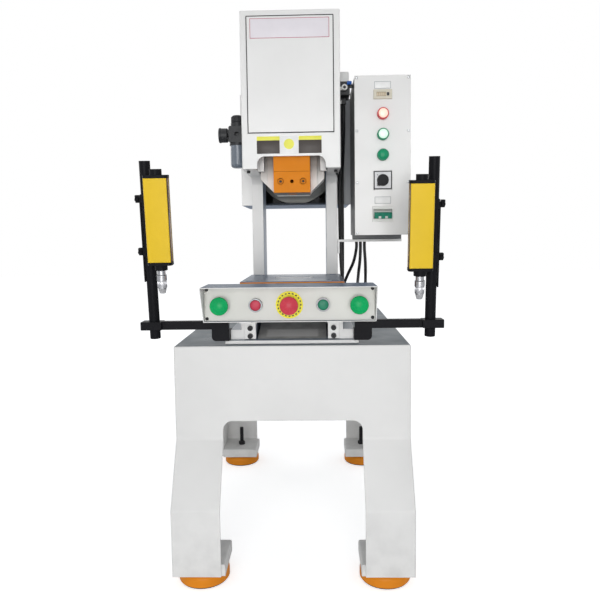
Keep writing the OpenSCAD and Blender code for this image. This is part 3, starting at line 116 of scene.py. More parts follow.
def surface(name, colour, roughness, inputs=None):
    """A new material with one shader, ready for its detail."""
    material = bpy.data.materials.new(name)
    material.use_nodes = True
    shader = material.node_tree.nodes["Principled BSDF"]
    join(material.node_tree, shader, {"Base Color": (*colour, 1), "Roughness": roughness, **(inputs or {})})
    return material, material.node_tree, shader


def ranged(tree, value, source, target=(0, 1)):
    """A value brought from one range to another."""
    return add(tree, "ShaderNodeMapRange", {
        "Value": value, "From Min": source[0], "From Max": source[1], "To Min": target[0],
        "To Max": target[1]})["Result"]


def times(tree, first, second):
    """The product of two values."""
    return add(tree, "ShaderNodeMath", {0: first, 1: second}, "MULTIPLY")[0]


def shown(name, shape, *materials):
    """A new piece with its mesh or curve and its materials."""
    for material in materials:
        shape.materials.append(material)
    piece = bpy.data.objects.new(name, shape)
    scene.collection.objects.link(piece)
    return piece


floor_white, tree, shader = surface("floor_white", (0.92, 0.92, 0.92), 0.9, {
    "Specular IOR Level": 0.0, "Emission Color": (1, 1, 1, 1)})
reach = add(tree, "ShaderNodeVectorMath", {0: add(tree, "ShaderNodeTexCoord")["Object"]}, "LENGTH")["Value"]
glow = times(tree, ranged(tree, reach, (0.7, 3.5), (0.56, 0.78)),
             add(tree, "ShaderNodeLightPath")["Is Camera Ray"])
join(tree, shader, {"Emission Strength": glow})
floor_mesh = bpy.data.meshes.new("floor")
floor_mesh.from_pydata([(-9, -7, 0), (9, -7, 0), (9, 11, 0), (-9, 11, 0)], [], [(0, 1, 2, 3)])
floor = shown("floor", floor_mesh, floor_white)
floor.location.z = -0.0005


# Cables: round black PVC cables. Three hang from glands under the cabinet, two of them to the back of the
# control box, and two come down from the valve along the right-hand column. Three end in glands on the bed.
def noise(tree, scale, detail, stretch=(1, 1, 1)):
    """Noise over the piece's own coordinates, stretched where the real marks have a direction."""
    place = add(tree, "ShaderNodeTexCoord")["Object"]
    turn = add(tree, "ShaderNodeMapping", {"Vector": place, "Scale": stretch})["Vector"]
    return add(tree, "ShaderNodeTexNoise", {"Vector": turn, "Scale": scale, "Detail": detail})[0]


def two_tone(tree, factor, first, second):
    """A mix of two colours or colour sockets; the node's inputs 6 and 7 and its output 2 are its colours."""
    node = tree.nodes.new("ShaderNodeMix")
    node.data_type = "RGBA"
    first, second = ((*tone, 1) if isinstance(tone, tuple) else tone for tone in (first, second))
    return join(tree, node, {0: factor, 6: first, 7: second})[2]


def clouded(tree, cloud, limits, colour, shade):
    """A colour that darkens to a share of itself where a cloud lies between its limits and beyond."""
    return two_tone(tree, ranged(tree, cloud, limits), colour, tuple(c * shade for c in colour))


def detailed(tree, shader, tone, gloss, roughness, spread):
    """Gives a shader its tone, and a roughness that a cloud takes from one share of it to another."""
    uneven = ranged(tree, gloss, (0.3, 0.7), tuple(roughness * share for share in spread))
    join(tree, shader, {"Base Color": tone, "Roughness": uneven})


def relief(tree, shader, height, strength, depth):
    """Fine relief in the surface, depth in metres."""
    bump = add(tree, "ShaderNodeBump", {"Height": height, "Strength": strength, "Distance": depth})
    join(tree, shader, {"Normal": bump["Normal"]})


def mottled(name, colour, roughness, metallic=0.0, shade=0.9, patch=9, grit=700, depth=0.0002, shine=0.25):
    """A finish with faint cloudy tone and gloss, and a fine grain."""
    material, tree, shader = surface(name, colour, roughness, {
        "Metallic": metallic, "Specular IOR Level": shine})
    tone = clouded(tree, noise(tree, patch, 4), (0.35, 0.7), colour, shade)
    detailed(tree, shader, tone, noise(tree, patch * 3, 3), roughness, (0.85, 1.15))
    relief(tree, shader, noise(tree, grit, 2), 0.25, depth)
    return material


def fitted(piece, slot, *nodes, body="base"):
    """Puts a piece on its body and hides the CAD pieces that it stands for; its slot is not used."""
    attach(piece, body)
    if nodes:
        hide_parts(*nodes)
    return piece


def cable(name, points, diameter, material):
    """A round cable on a smooth curve through its points, which are in mm; returns its route and length too."""
    knots, steps = [Vector(p) / 1000 for p in points], 4
    last = len(knots) - 1
    route = []
    for i in range(last):
        a, b, c, d = (knots[max(0, min(last, i + k))] for k in (-1, 0, 1, 2))
        for t in (k / steps for k in range(steps)):
            route.append(0.5 * (2 * b + (c - a) * t + (2 * a - 5 * b + 4 * c - d) * t ** 2
                                + (3 * b - a - 3 * c + d) * t ** 3))
    route.append(knots[last])
    curve = bpy.data.curves.new(name, "CURVE")
    curve.dimensions = "3D"
    curve.bevel_depth = diameter / 2
    curve.bevel_resolution = 4
    curve.use_fill_caps = True
    line = curve.splines.new("POLY")
    line.points.add(len(route) - 1)
    for spot, place in zip(line.points, route):
        spot.co = (*place, 1)
    line.use_smooth = True
    return shown(name, curve, material), route, sum((b - a).length for a, b in zip(route, route[1:]))


cable_black = mottled("cable_black", (0.012, 0.012, 0.014), 0.42, grit=1500, depth=0.00005)
cable_d = 0.009
control_routes = {
    "control_cable_inner": [
        (192, 55, 796), (192, 55, 770.3), (190, 51.7, 735.7), (184, 28.3, 701), (176, -46.1, 673.3),
        (170, -152.6, 661.4), (166, -259.6, 655.5), (164, -323.5, 659.5), (164, -362.8, 659.5)],
    "control_cable_outer": [
        (204, 55, 796), (204, 55, 770.3), (206, 49.6, 730.8), (204, 22, 687.2), (196, -57, 653.6),
        (186, -163.5, 641.8), (178, -270, 647.6), (176, -328.5, 659.5), (176, -362.8, 659.5)],
    "control_cable_down": [
        (180, 55, 796), (180, 55, 773), (171.8, 64.3, 732.6), (154.6, 79.8, 692.3), (141.9, 86, 657.8),
        (139, 86, 630.9), (139, 86, 617.4), (139, 86, 604)],
}
trunk_routes = {
    "trunk_cable_inner": [
        (130.5, -45, 1170), (130.5, -45, 1136), (130.5, -26, 1085.1), (130.7, 26.3, 1017.2),
        (130.8, 50, 943.6), (131.2, 50, 830.4), (133.5, 50, 739.8), (137.7, 50, 671.9), (139, 50, 638),
        (139, 50, 604)],
    "trunk_cable_outer": [
        (140.5, -45, 1170), (140.5, -45, 1136), (140.5, -22.4, 1085.1), (140.5, 39.8, 1017.2),
        (140.4, 68, 943.6), (140.4, 68, 830.4), (140, 68, 739.8), (139.2, 68, 671.9), (139, 68, 638),
        (139, 68, 604)],
}
for node, routes in (("control_cables", control_routes), ("trunk_cables", trunk_routes)):
    for name, points in routes.items():
        lead, route, length = cable(name, points, cable_d, cable_black)
        fitted(lead, "cable_black", node)

# Air hose: a short blue polyurethane tube from the air service unit into the head.
# It pushes into a fitting on the unit and bends round into the head's side.
hose_d = 0.008
hose_points = [
    (-149, -44, 1086), (-149, -33.9, 1086), (-151.5, -22.2, 1086), (-155.4, -9.7, 1086), (-157.2, 2, 1086),
    (-152.9, 18, 1086), (-141.1, 29.7, 1086), (-131.2, 34, 1086), (-125.2, 34, 1086)]
hose_blue = mottled("hose_blue", (0.02, 0.11, 0.45), 0.30, grit=1200, depth=0.00004)
hose, route, length = cable("air_hose_tube", hose_points, hose_d, hose_blue)
fitted(hose, "blue_hose", "air_hose")


# Stand: one welded piece of folded sheet, powder coated off-white. Its long folds are rolled, its cut
# edges are broken, and its upper side carries a painted blue-grey reflection.
def plain_mesh(piece):
    """The piece with its modifiers made part of its mesh."""
    deps = bpy.context.evaluated_depsgraph_get()
    mesh = bpy.data.meshes.new_from_object(piece.evaluated_get(deps), preserve_all_data_layers=True,
                                           depsgraph=deps)
    piece.modifiers.clear()
    piece.data = mesh
    return piece


def dressed(node, name, fold, edge, slot, *materials, body="base", choose=None, broad=0.0015, segments=2):
    """A CAD piece with its long outer folds rolled to one radius and its other outer edges to another.

    A fold is long if its faces are larger than the broad area. Choose gives a face its material's number.
    """
    sharp, seam, flat = math.radians(32), 2e-6, math.radians(0.8)
    bm = bmesh.new()
    bm.from_mesh(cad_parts[node].data)
    bmesh.ops.remove_doubles(bm, verts=bm.verts, dist=seam)
    bmesh.ops.dissolve_limit(bm, angle_limit=flat, verts=bm.verts, edges=bm.edges)
    weight = bm.edges.layers.float.new("bevel_weight_edge")
    width = {face: 2 * face.calc_area() / face.calc_perimeter() for face in bm.faces}
    for line in bm.edges:
        turn = line.calc_face_angle(0) if len(line.link_faces) == 2 else 0
        line.smooth = turn < sharp
        if turn == 0:
            continue
        room = min(width[face] for face in line.link_faces)
        rolled = room > 2.5 * fold and min(face.calc_area() for face in line.link_faces) > broad
        if turn > sharp and line.is_convex:
            line[weight] = 1.0 if rolled else edge / fold
        elif rolled and math.radians(5) < turn < math.radians(60):
            line[weight] = 1.0
    for face in bm.faces:
        face.smooth = True
    mesh = bpy.data.meshes.new(name)
    bm.to_mesh(mesh)
    bm.free()
    piece = shown(name, mesh, *materials)
    bevel = piece.modifiers.new("rolled_edges", "BEVEL")
    bevel.limit_method = "WEIGHT"
    bevel.width = fold
    bevel.segments = segments
    bevel.use_clamp_overlap = False
    bevel.harden_normals = True
    plain_mesh(piece)
    if choose:
        for face in piece.data.polygons:
            face.material_index = choose(face)
    return fitted(piece, slot, node, body=body)


def powder_coat(name, colour, roughness, painted_top_reflection=None, shine=0.5):
    """Powder coat: a faint orange-peel skin, cloudy tone, floor dust low down and, when a reflection colour is
    given, a painted blue-grey reflection on its upper side.
    """
    material, tree, shader = surface(name, colour, roughness, {
        "Specular IOR Level": shine, "Coat Weight": shine / 2, "Coat Roughness": 0.12})
    tone = clouded(tree, noise(tree, 5, 5), (0.4, 0.75), colour, 0.93)
    height = add(tree, "ShaderNodeSeparateXYZ", {0: add(tree, "ShaderNodeTexCoord")["Object"]})["Z"]
    dust_z, table_z = (0.03, 0.22), (0.48, 0.50)
    dust = times(tree, ranged(tree, height, dust_z, (0.5, 0)), ranged(tree, noise(tree, 24, 6), (0.42, 0.7)))
    tone = two_tone(tree, dust, tone, tuple(c * 0.72 for c in colour))
    # Painted reflection: faces that look upwards above the table's height take a darker blue-grey, standing in
    # for the room reflected in the gloss.
    if painted_top_reflection:
        lean = add(tree, "ShaderNodeSeparateXYZ", {0: add(tree, "ShaderNodeNewGeometry")["Normal"]})["Z"]
        upward = times(tree, ranged(tree, lean, (0.75, 0.98)), ranged(tree, height, table_z))
        tone = two_tone(tree, upward, tone, clouded(tree, noise(tree, 7, 4), (0.35, 0.7), painted_top_reflection, 0.86))
    detailed(tree, shader, tone, noise(tree, 16, 4), roughness, (0.85, 1.2))
    relief(tree, shader, noise(tree, 420, 2), 0.12, 0.0003)
    return material


machine_white = (0.74, 0.735, 0.722)
machine_paint = powder_coat("machine_paint", machine_white, 0.34)
# The table's top carries the painted blue-grey reflection.
table_paint = powder_coat("table_paint", machine_white, 0.32, painted_top_reflection=(0.10, 0.135, 0.16), shine=0.08)
dressed("stand", "stand_sheet", 0.005, 0.0012, "machine_paint", table_paint, segments=3)

# Machine mounts: orange cast caps on black rubber pads, with a levelling stud, collar and nut in each.
# The studs carry a rolled thread.
orange_paint = mottled("orange_paint", (0.745, 0.25, 0.018), 0.38, grit=380, depth=0.0003, shine=0.10)
dressed("mount_caps", "mount_cap_castings", 0.002, 0.001, "orange_paint", orange_paint)


def keep(material, *nodes):
    """Gives CAD pieces that stay their finish."""
    for node in nodes:
        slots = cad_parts[node].data.materials
        slots.clear()
        slots.append(material)


rubber_black = mottled("rubber_black", (0.018, 0.018, 0.019), 0.72, shade=0.7, grit=520, depth=0.0003)
black_oxide = mottled("black_oxide", (0.016, 0.016, 0.018), 0.40, metallic=0.3, grit=900, depth=0.0001)
keep(rubber_black, "mount_rubbers")
keep(black_oxide, "levelling_bolts")


def new_geometry_tree(name, **kinds):
    """A geometry tree with named inputs; returns it with their identifiers and their sockets."""
    tree = bpy.data.node_groups.new(name, "GeometryNodeTree")
    tree.interface.new_socket("Geometry", in_out="OUTPUT", socket_type="NodeSocketGeometry")
    ids = {key: tree.interface.new_socket(key, in_out="INPUT", socket_type="NodeSocket" + kind).identifier
           for key, kind in kinds.items()}
    return tree, ids, add(tree, "NodeGroupInput")


def coated(tree, geometry, finish):
    """Ends a geometry tree: its geometry is made real and gets its finish."""
    real = add(tree, "GeometryNodeRealizeInstances", {0: geometry})
    coat = add(tree, "GeometryNodeSetMaterial", {"Geometry": real[0], "Material": finish})
    add(tree, "NodeGroupOutput", {0: coat["Geometry"]})


def grown(tree, ids, name, **values):
    """A piece made by a geometry tree, as a plain mesh; the pieces that it takes as patterns are used up."""
    piece = shown(name, bpy.data.meshes.new(name))
    modifier = piece.modifiers.new("grown", "NODES")
    modifier.node_group = tree
    for key, value in values.items():
        modifier[ids[key]] = value
    plain_mesh(piece)
    for value in values.values():
        if isinstance(value, bpy.types.Object):
            bpy.data.objects.remove(value)
    return piece


thread_tree, thread_ids, given = new_geometry_tree(
    "rolled_thread", Radius="Float", Turns="Float", Length="Float", Ridge="Float", Finish="Material")
spiral = add(thread_tree, "GeometryNodeCurveSpiral", {
    "Resolution": 16, "Start Radius": given["Radius"], "End Radius": given["Radius"],
    "Rotations": given["Turns"], "Height": given["Length"]})
ridge = add(thread_tree, "GeometryNodeCurvePrimitiveCircle", {"Resolution": 4, "Radius": given["Ridge"]})
sweep = add(thread_tree, "GeometryNodeCurveToMesh", {
    "Curve": spiral["Curve"], "Profile Curve": ridge["Curve"], "Fill Caps": True})
coated(thread_tree, sweep["Mesh"], given["Finish"])

stud_r, ridge_r, thread_pitch, thread_z = 0.006, 0.0006, 0.00175, 0.072
thread_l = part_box("levelling_bolts")[1].z - thread_z - 0.002
mount_low, mount_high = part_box("mount_rubbers")
mount_r = 0.057
for side, x in (("left", mount_low.x + mount_r), ("right", mount_high.x - mount_r)):
    for end, y in (("front", mount_low.y + mount_r), ("rear", mount_high.y - mount_r)):
        thread = grown(thread_tree, thread_ids, f"stud_thread_{side}_{end}", Radius=stud_r,
                       Turns=thread_l / thread_pitch, Length=thread_l, Ridge=ridge_r, Finish=black_oxide)
        thread.data.transform(Matrix.Translation((x, y, thread_z)))
        fitted(thread, "black_steel")

# Press frame: two thick flame-cut plates, welded to a base flange, plinth bars and cross plates, and
# painted with the stand. The plates' inner sides carry a painted bluish shade, and the frame's upward
# faces a painted blue-grey reflection.
# Painted reflection: the frame's upward faces above the table's height take a blue-grey.
frame_paint = powder_coat("frame_paint", machine_white, 0.36, painted_top_reflection=(0.22, 0.26, 0.31), shine=0.3)
# Painted shade: a bluish grey for the plates' inner faces, those turned towards the middle.
inner_painted_shade = powder_coat("inner_painted_shade", (0.40, 0.46, 0.55), 0.45, shine=0.2)
inner_x = 0.0915
dressed("press_frame", "press_frame_weldment", 0.002, 0.001, "machine_paint", frame_paint, inner_painted_shade,
        choose=lambda face: int(abs(face.center.x) < inner_x
                                and face.normal.x * face.center.x < -0.9 * abs(face.center.x)))

# Scrap chute: a bent sheet of bare steel that carries slugs from under the bolster to the front window.
# It is dulled by oil and scratched along its slope, and its lower middle is lighter.
chute_steel = mottled("chute_steel", (0.42, 0.42, 0.41), 0.48, metallic=0.2, shade=0.7, patch=30, grit=300)


def toned(material, limits, tone):
    """Blends another tone into a finish. Each limit is an axis, where the tone starts and where it is full."""
    tree = material.node_tree
    shader = tree.nodes["Principled BSDF"]
    axes = add(tree, "ShaderNodeSeparateXYZ", {0: add(tree, "ShaderNodeTexCoord")["Object"]})
    share = 1.0
    for axis, begins, full in limits:
        share = times(tree, share, ranged(tree, axes[axis], (begins, full)))
    before = shader.inputs["Base Color"].links[0].from_socket
    join(tree, shader, {"Base Color": two_tone(tree, share, before, tone)})


# A band across the lower middle is lighter.
toned(chute_steel, (("Y", -0.287, -0.281), ("Y", -0.240, -0.248), ("X", 0.066, 0.060), ("X", -0.066, -0.060)),
      (0.56, 0.56, 0.55))
keep(chute_steel, "scrap_chute")


# Bolster plate: a thick ground steel plate bolted to the bed, with a drop slot and tapped holes.
# Its front edge is painted orange like the ram, and the slot's walls carry a painted near-white highlight.
def ground_steel(name, colour, roughness, stretch):
    """Steel with fine grinding marks in one direction."""
    material, tree, shader = surface(name, colour, roughness, {"Metallic": 1.0, "Anisotropic": 0.5})
    marks = noise(tree, 60, 6, stretch)
    detailed(tree, shader, clouded(tree, marks, (0.35, 0.7), colour, 0.78), marks, roughness, (0.8, 1.3))
    relief(tree, shader, marks, 0.15, 0.0001)
    return material


# Painted reflection: the ground steel's colour is a dark blue-grey, standing in for the room reflected in it.
bolster_steel = ground_steel("bolster_steel", (0.105, 0.14, 0.20), 0.30, (0.6, 14, 14))
# Painted highlight: the slot's upright walls are near white, so that the slot reads bright.
slot_painted_highlight = mottled("slot_painted_highlight", (0.88, 0.88, 0.88), 0.35, shade=0.95, patch=40, grit=600, depth=0.0001)
bolster_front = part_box("bolster_plate")[0].y
slot_half_w, slot_front, slot_rear = 0.055, -0.165, -0.08


def bolster_finish(face):
    """Orange on the front edge, a painted highlight on the slot's walls and ground elsewhere."""
    front = face.normal.y < -0.9 and face.center.y < bolster_front + 0.001
    in_slot = abs(face.center.x) < slot_half_w and slot_front < face.center.y < slot_rear
    return 1 if front else 2 if in_slot and abs(face.normal.z) < 0.5 else 0


dressed("bolster_plate", "bolster_ground", 0.0015, 0.0006, "ground_steel", bolster_steel, orange_paint,
        slot_painted_highlight, choose=bolster_finish)

# Air cylinder inside the head: an aluminium barrel between square caps on tie rods, with its piston,
# seals and chromed rod. It is out of sight behind the head's cover.
aluminium = mottled("cylinder_aluminium", (0.56, 0.57, 0.58), 0.34, metallic=1.0, grit=600, depth=0.0001)
zinc = mottled("zinc_plate", (0.55, 0.56, 0.57), 0.30, metallic=1.0, shade=0.8, grit=900, depth=0.00005)
keep(aluminium, "cylinder_barrel", "cylinder_caps", "piston")
keep(zinc, "tie_rods")
keep(ground_steel("rod_chrome", (0.62, 0.63, 0.65), 0.14, (20, 20, 0.5)), "piston_rod")
keep(rubber_black, "piston_seals")

# Ram: an orange painted steel block that slides in the guide, with a clamp plate bolted on its front.
# The clamp's socket screws sit in counterbores beside the set-screw hole, their faces painted over.
# The undersides are dark.
ram_orange = mottled("ram_orange", (0.75, 0.238, 0.012), 0.36, shade=0.93, patch=16, grit=380, shine=0.06)
for node, name in (("ram", "ram_block"), ("punch_clamp", "punch_clamp_plate")):
    dressed(node, name, 0.0012, 0.0006, "orange_paint", ram_orange, black_oxide, body="ram",
            choose=lambda face: int(face.normal.z < -0.8))
screw_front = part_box("clamp_screws")[0].y
dressed("clamp_screws", "clamp_socket_screws", 0.0006, 0.0004, "black_steel", black_oxide, ram_orange,
        body="ram", broad=0.00002,
        choose=lambda face: int(face.normal.y < -0.9 and face.center.y < screw_front + 0.0005))
keep(black_oxide, "socket_screws")

# Guide block and gib strips: planed castings either side of the ram, painted with the frame.
# Their lower corners are cut away at a slope, and a painted shade darkens them towards the top, under the hood.
guide_paint = powder_coat("guide_paint", (0.78, 0.755, 0.725), 0.42, shine=0.15)
guide_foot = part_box("guide_block")[0].z
# Painted shade: the colour darkens towards the top, where the hood shades the guide.
toned(guide_paint, (("Z", guide_foot + 0.034, guide_foot + 0.074),), (0.26, 0.235, 0.215))
dressed("guide_block", "guide_casting", 0.0012, 0.0008, "machine_paint", guide_paint)
dressed("gib_strips", "gib_bars", 0.0010, 0.0008, "machine_paint", guide_paint)

# Head cover: a folded sheet hood over the cylinder, with a removable front panel set in its opening.
# A dark strip round the panel is painted shade for its gap, and a plain bordered plate is stuck at its top.
dressed("head_cover", "head_hood", 0.0028, 0.0006, "machine_paint", machine_paint)
dressed("front_panel", "front_panel_sheet", 0.0010, 0.0006, "machine_paint", machine_paint)


def shaped(name, bm, angle, *materials):
    """A piece with its faces turned out and smooth, and sharp edges where it turns more than an angle."""
    bmesh.ops.recalc_face_normals(bm, faces=bm.faces)
    for face in bm.faces:
        face.smooth = True
    for edge in bm.edges:
        edge.smooth = len(edge.link_faces) == 2 and edge.calc_face_angle(0) < math.radians(angle)
    mesh = bpy.data.meshes.new(name)
    bm.to_mesh(mesh)
    bm.free()
    return shown(name, mesh, *materials)


def slab(name, x, y, z, bevel, *materials, place=Matrix()):
    """A small block with broken edges that fills a span on each axis, then put in its place."""
    low, high = map(Vector, zip(x, y, z))
    bm = bmesh.new()
    bmesh.ops.create_cube(bm, size=1)
    bm.transform(Matrix.Translation((low + high) / 2) @ Matrix.Diagonal((*(high - low), 1)))
    bmesh.ops.bevel(bm, geom=list(bm.edges), offset=bevel, segments=2, profile=0.5, affect="EDGES",
                    clamp_overlap=True)
    bm.transform(place)
    return shaped(name, bm, 50, *materials)


panel_low, panel_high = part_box("front_panel")
# Painted shade: dark strips over the panel's edges, where its gap lies in shade.
gap_painted_shade = mottled("gap_painted_shade", (0.02, 0.02, 0.022), 0.6, grit=800)
strip_w, lap, strip_y = 0.0013, 0.0009, (panel_low.y - 0.0003, panel_high.y - 0.0002)
across, upright = (panel_low.x, panel_high.x), (panel_low.z - strip_w, panel_high.z)
for name, x, z in (("left", (panel_low.x - strip_w, panel_low.x + lap), upright),
                   ("right", (panel_high.x - lap, panel_high.x + strip_w), upright),
                   ("top", across, (panel_high.z - lap, panel_high.z + strip_w)),
                   ("low", across, (panel_low.z - strip_w, panel_low.z + lap))):
    fitted(slab("panel_gasket_" + name, x, strip_y, z, 0.0002, gap_painted_shade), "black_rubber")


def enamel(name, colour, roughness, shade=0.9, patch=40):
    """A smooth finish for small plates."""
    return mottled(name, colour, roughness, shade=shade, patch=patch, grit=900, depth=0.00005)


border_red = enamel("border_red", (0.46, 0.10, 0.16), 0.4, patch=30)
header_white = enamel("header_white", (0.735, 0.70, 0.735), 0.36, shade=0.97, patch=30)
header_x = (panel_low.x + 0.0085, panel_high.x - 0.0095)
header_z = (panel_high.z - 0.054, panel_high.z - 0.0055)
for name, inset, proud, finish, slot in (("border", 0.0, 0.0003, border_red, "red_plastic"),
                                         ("face", 0.0013, 0.0005, header_white, "white_plastic")):
    x, z = ((low + inset, high - inset) for low, high in (header_x, header_z))
    fitted(slab("header_plate_" + name, x, (panel_low.y - proud, panel_low.y), z, 0.0001, finish), slot)

# Plates on the head's front: three plain enamelled plates stuck above the ram's opening.
# The outer two are dark with a yellow head, and the middle one is white with a yellow disc.
plate_dark = enamel("plate_dark", (0.060, 0.050, 0.045), 0.35)
plate_yellow = enamel("plate_yellow", (0.80, 0.78, 0.10), 0.35)
plate_white = enamel("plate_white", (0.84, 0.84, 0.83), 0.30)
hood_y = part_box("head_cover")[0].y
plate_y, plate_z, head_z = (hood_y - 0.0005, hood_y), (1.0205, 1.0635), 1.0535
for name, x in (("left_plate", (-0.087, -0.029)), ("right_plate", (0.019, 0.077))):
    fitted(slab(name, x, plate_y, (plate_z[0], head_z), 0.0001, plate_dark), "black_plastic")
    fitted(slab(name + "_head", x, plate_y, (head_z, plate_z[1]), 0.0001, plate_yellow), "yellow_disc")
fitted(slab("middle_plate", (-0.0275, 0.0165), plate_y, plate_z, 0.0001, plate_white), "white_plastic")


def band(bm, low, high):
    """Faces between two rings of corners; a ring of one corner is a tip."""
    count = max(len(low), len(high))
    for k in range(count):
        n = (k + 1) % count
        if len(low) == 1:
            bm.faces.new((low[0], high[k], high[n]))
        elif len(high) == 1:
            bm.faces.new((low[k], low[n], high[0]))
        else:
            bm.faces.new((low[k], low[n], high[n], high[k]))


def turned(name, profile, place, material, segments=48):
    """A turned piece: its profile of radius and height spun about +Z, then put in its place."""
    bm = bmesh.new()
    angles = [2 * math.pi * k / segments for k in range(segments)]
    rings = [[bm.verts.new((radius * math.cos(a), radius * math.sin(a), height))
              for a in (angles if radius else [0])] for radius, height in profile]
    for low, high in zip(rings, rings[1:]):
        band(bm, low, high)
    bm.transform(place)
    return shaped(name, bm, 32, material)


def facing(way, x, y, z):
    """The place of a turned piece whose +Z end faces the front, back, left or right."""
    angle, axis = {"front": (90, "X"), "back": (-90, "X"), "left": (-90, "Y"), "right": (90, "Y")}[way]
    return Matrix.Translation((x, y, z)) @ Matrix.Rotation(math.radians(angle), 4, axis)


fitted(turned("middle_plate_disc", [(0, 0), (0.013, 0), (0.013, 0.0003), (0, 0.0003)],
              facing("front", -0.0055, plate_y[0], 1.044), plate_yellow), "yellow_disc")

# Rear cover and air tank: a sheet box behind the columns, open to the front, with a dark grey pressed
# tank whose dished end shows under the ram, its lower rim lit by a painted highlight. The box's
# underside and inside are painted shade, and a dark strip on its lower lip is painted shade too.
# Painted shade: blue-grey for the box's underside, near black for its inside.
underside_painted_shade = powder_coat("underside_painted_shade", (0.18, 0.26, 0.40), 0.5, shine=0.2)
inside_painted_shade = powder_coat("inside_painted_shade", (0.075, 0.08, 0.085), 0.6, shine=0.1)
rear_low, rear_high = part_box("rear_cover")


def rear_finish(face):
    """Painted blue-grey shade below, painted near-black shade inside and machine paint elsewhere."""
    under = face.normal.z < -0.9 and face.center.z < rear_low.z + 0.001
    deep = min(min(c - low, high - c) for c, low, high in zip(face.center, rear_low, rear_high))
    return 1 if under else 2 if deep > 0.001 else 0


dressed("rear_cover", "rear_box", 0.0015, 0.0006, "machine_paint", machine_paint, underside_painted_shade,
        inside_painted_shade, choose=rear_finish)
tank_grey = mottled("tank_grey", (0.30, 0.305, 0.295), 0.36, shade=0.75, patch=7, grit=420, depth=0.0003)
tank_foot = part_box("air_tank")[0].z
# Painted highlight: the tank's lowest 18 mm fade to light grey where its dished end turns down.
toned(tank_grey, (("Z", tank_foot + 0.018, tank_foot + 0.003),), (0.78, 0.78, 0.73))
keep(tank_grey, "air_tank")
# Painted shade: a dark strip along the box's lower lip between the columns.
lip_painted_shade = mottled("lip_painted_shade", (0.045, 0.055, 0.07), 0.5, patch=20, grit=600)
fitted(slab("tank_edge_trim", (-0.0908, 0.0908), (rear_low.y - 0.0008, rear_low.y + 0.0045),
            (rear_low.z + 0.0006, rear_low.z + 0.0062), 0.0006, lip_painted_shade), "black_rubber")

# Air service unit: a black moulded regulator on the head's left side with a ribbed knob on top, a smoky
# polycarbonate bowl below and a small pressure gauge. A blue collar holds the hose.
moulded_black = mottled("moulded_black", (0.030, 0.031, 0.034), 0.42, shade=0.8, grit=650)
dressed("regulator_body", "regulator_casting", 0.0020, 0.0008, "black_plastic", moulded_black)

ring_tree, ring_ids, given = new_geometry_tree(
    "ring_of_ribs", Count="Int", Radius="Float", Rib="Object", Finish="Material")
circle = add(ring_tree, "GeometryNodeMeshCircle", {"Vertices": given["Count"], "Radius": given["Radius"]})
index = add(ring_tree, "GeometryNodeInputIndex")[0]
share = add(ring_tree, "ShaderNodeMath", {0: index, 1: given["Count"]}, "DIVIDE")[0]
turn = add(ring_tree, "ShaderNodeCombineXYZ", {"Z": times(ring_tree, share, 2 * math.pi)})
pattern = add(ring_tree, "GeometryNodeObjectInfo", {"Object": given["Rib"]})
ribs = add(ring_tree, "GeometryNodeInstanceOnPoints", {
    "Points": circle["Mesh"], "Instance": pattern["Geometry"], "Rotation": turn["Vector"]})
coated(ring_tree, ribs["Instances"], given["Finish"])


def ring_of(rib, name, count, radius, place, finish):
    """A ring of equal ribs about a turned piece, put in its place."""
    ring = grown(ring_tree, ring_ids, name, Count=count, Radius=radius, Rib=rib, Finish=finish)
    ring.data.transform(place)
    return ring


knob_low, knob_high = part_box("regulator_knob")
unit_x, unit_y = (knob_low.x + knob_high.x) / 2, (knob_low.y + knob_high.y) / 2
knob_r, knob_seat = (knob_high.x - knob_low.x) / 2, knob_low.z + 0.0065
fitted(turned("regulator_knob_cap", [
    (0, knob_low.z), (0.0058, knob_low.z), (0.0058, knob_seat), (knob_r - 0.003, knob_seat),
    (knob_r - 0.0015, knob_seat + 0.0015), (knob_r - 0.0015, knob_high.z - 0.005),
    (knob_r - 0.003, knob_high.z - 0.0015), (knob_r - 0.006, knob_high.z), (0, knob_high.z - 0.0006)],
    Matrix.Translation((unit_x, unit_y, 0)), moulded_black),
    "black_plastic", "regulator_knob", body="regulator_knob")
rib = slab("knob_rib", (-0.0016, 0.0012), (-0.0014, 0.0014), (0, 0.0145), 0.0008)
fitted(ring_of(rib, "regulator_knob_ribs", 24, knob_r - 0.0012,
               Matrix.Translation((unit_x, unit_y, knob_seat + 0.001)), moulded_black),
       "black_plastic", body="regulator_knob")

bowl_smoke, tree, shader = surface("bowl_smoke", (0.20, 0.235, 0.285), 0.16, {
    "Transmission Weight": 0.35, "IOR": 1.5})
relief(tree, shader, noise(tree, 90, 3), 0.35, 0.001)
keep(bowl_smoke, "filter_bowl")


def about(middle, half):
    """The span that reaches equally far to both sides of its middle."""
    return middle - half, middle + half


gauge_low, gauge_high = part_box("pressure_gauge")
gauge_y, gauge_z = (gauge_low.y + gauge_high.y) / 2, (gauge_low.z + gauge_high.z) / 2
gauge_r = (gauge_high.y - gauge_low.y) / 2
gauge_place = facing("left", gauge_low.x, gauge_y, gauge_z)
fitted(turned("gauge_case", [
    (0, -0.0275), (0.0049, -0.0275), (0.0049, -0.024), (gauge_r - 0.003, -0.024), (gauge_r - 0.001, -0.022),
    (gauge_r - 0.001, -0.006), (gauge_r, -0.005), (gauge_r, -0.001), (gauge_r - 0.0010, 0),
    (gauge_r - 0.0022, 0), (gauge_r - 0.0028, -0.0022), (0, -0.0022)], gauge_place, moulded_black),
    "black_plastic", "pressure_gauge")
dial_white = mottled("dial_white", (0.83, 0.83, 0.82), 0.4, patch=60, grit=1200, depth=0.00003)
dial_r = gauge_r - 0.0034
fitted(turned("gauge_dial", [(0, -0.0022), (dial_r, -0.0022), (dial_r, -0.0018), (0, -0.0018)],
              gauge_place, dial_white), "white_plastic")
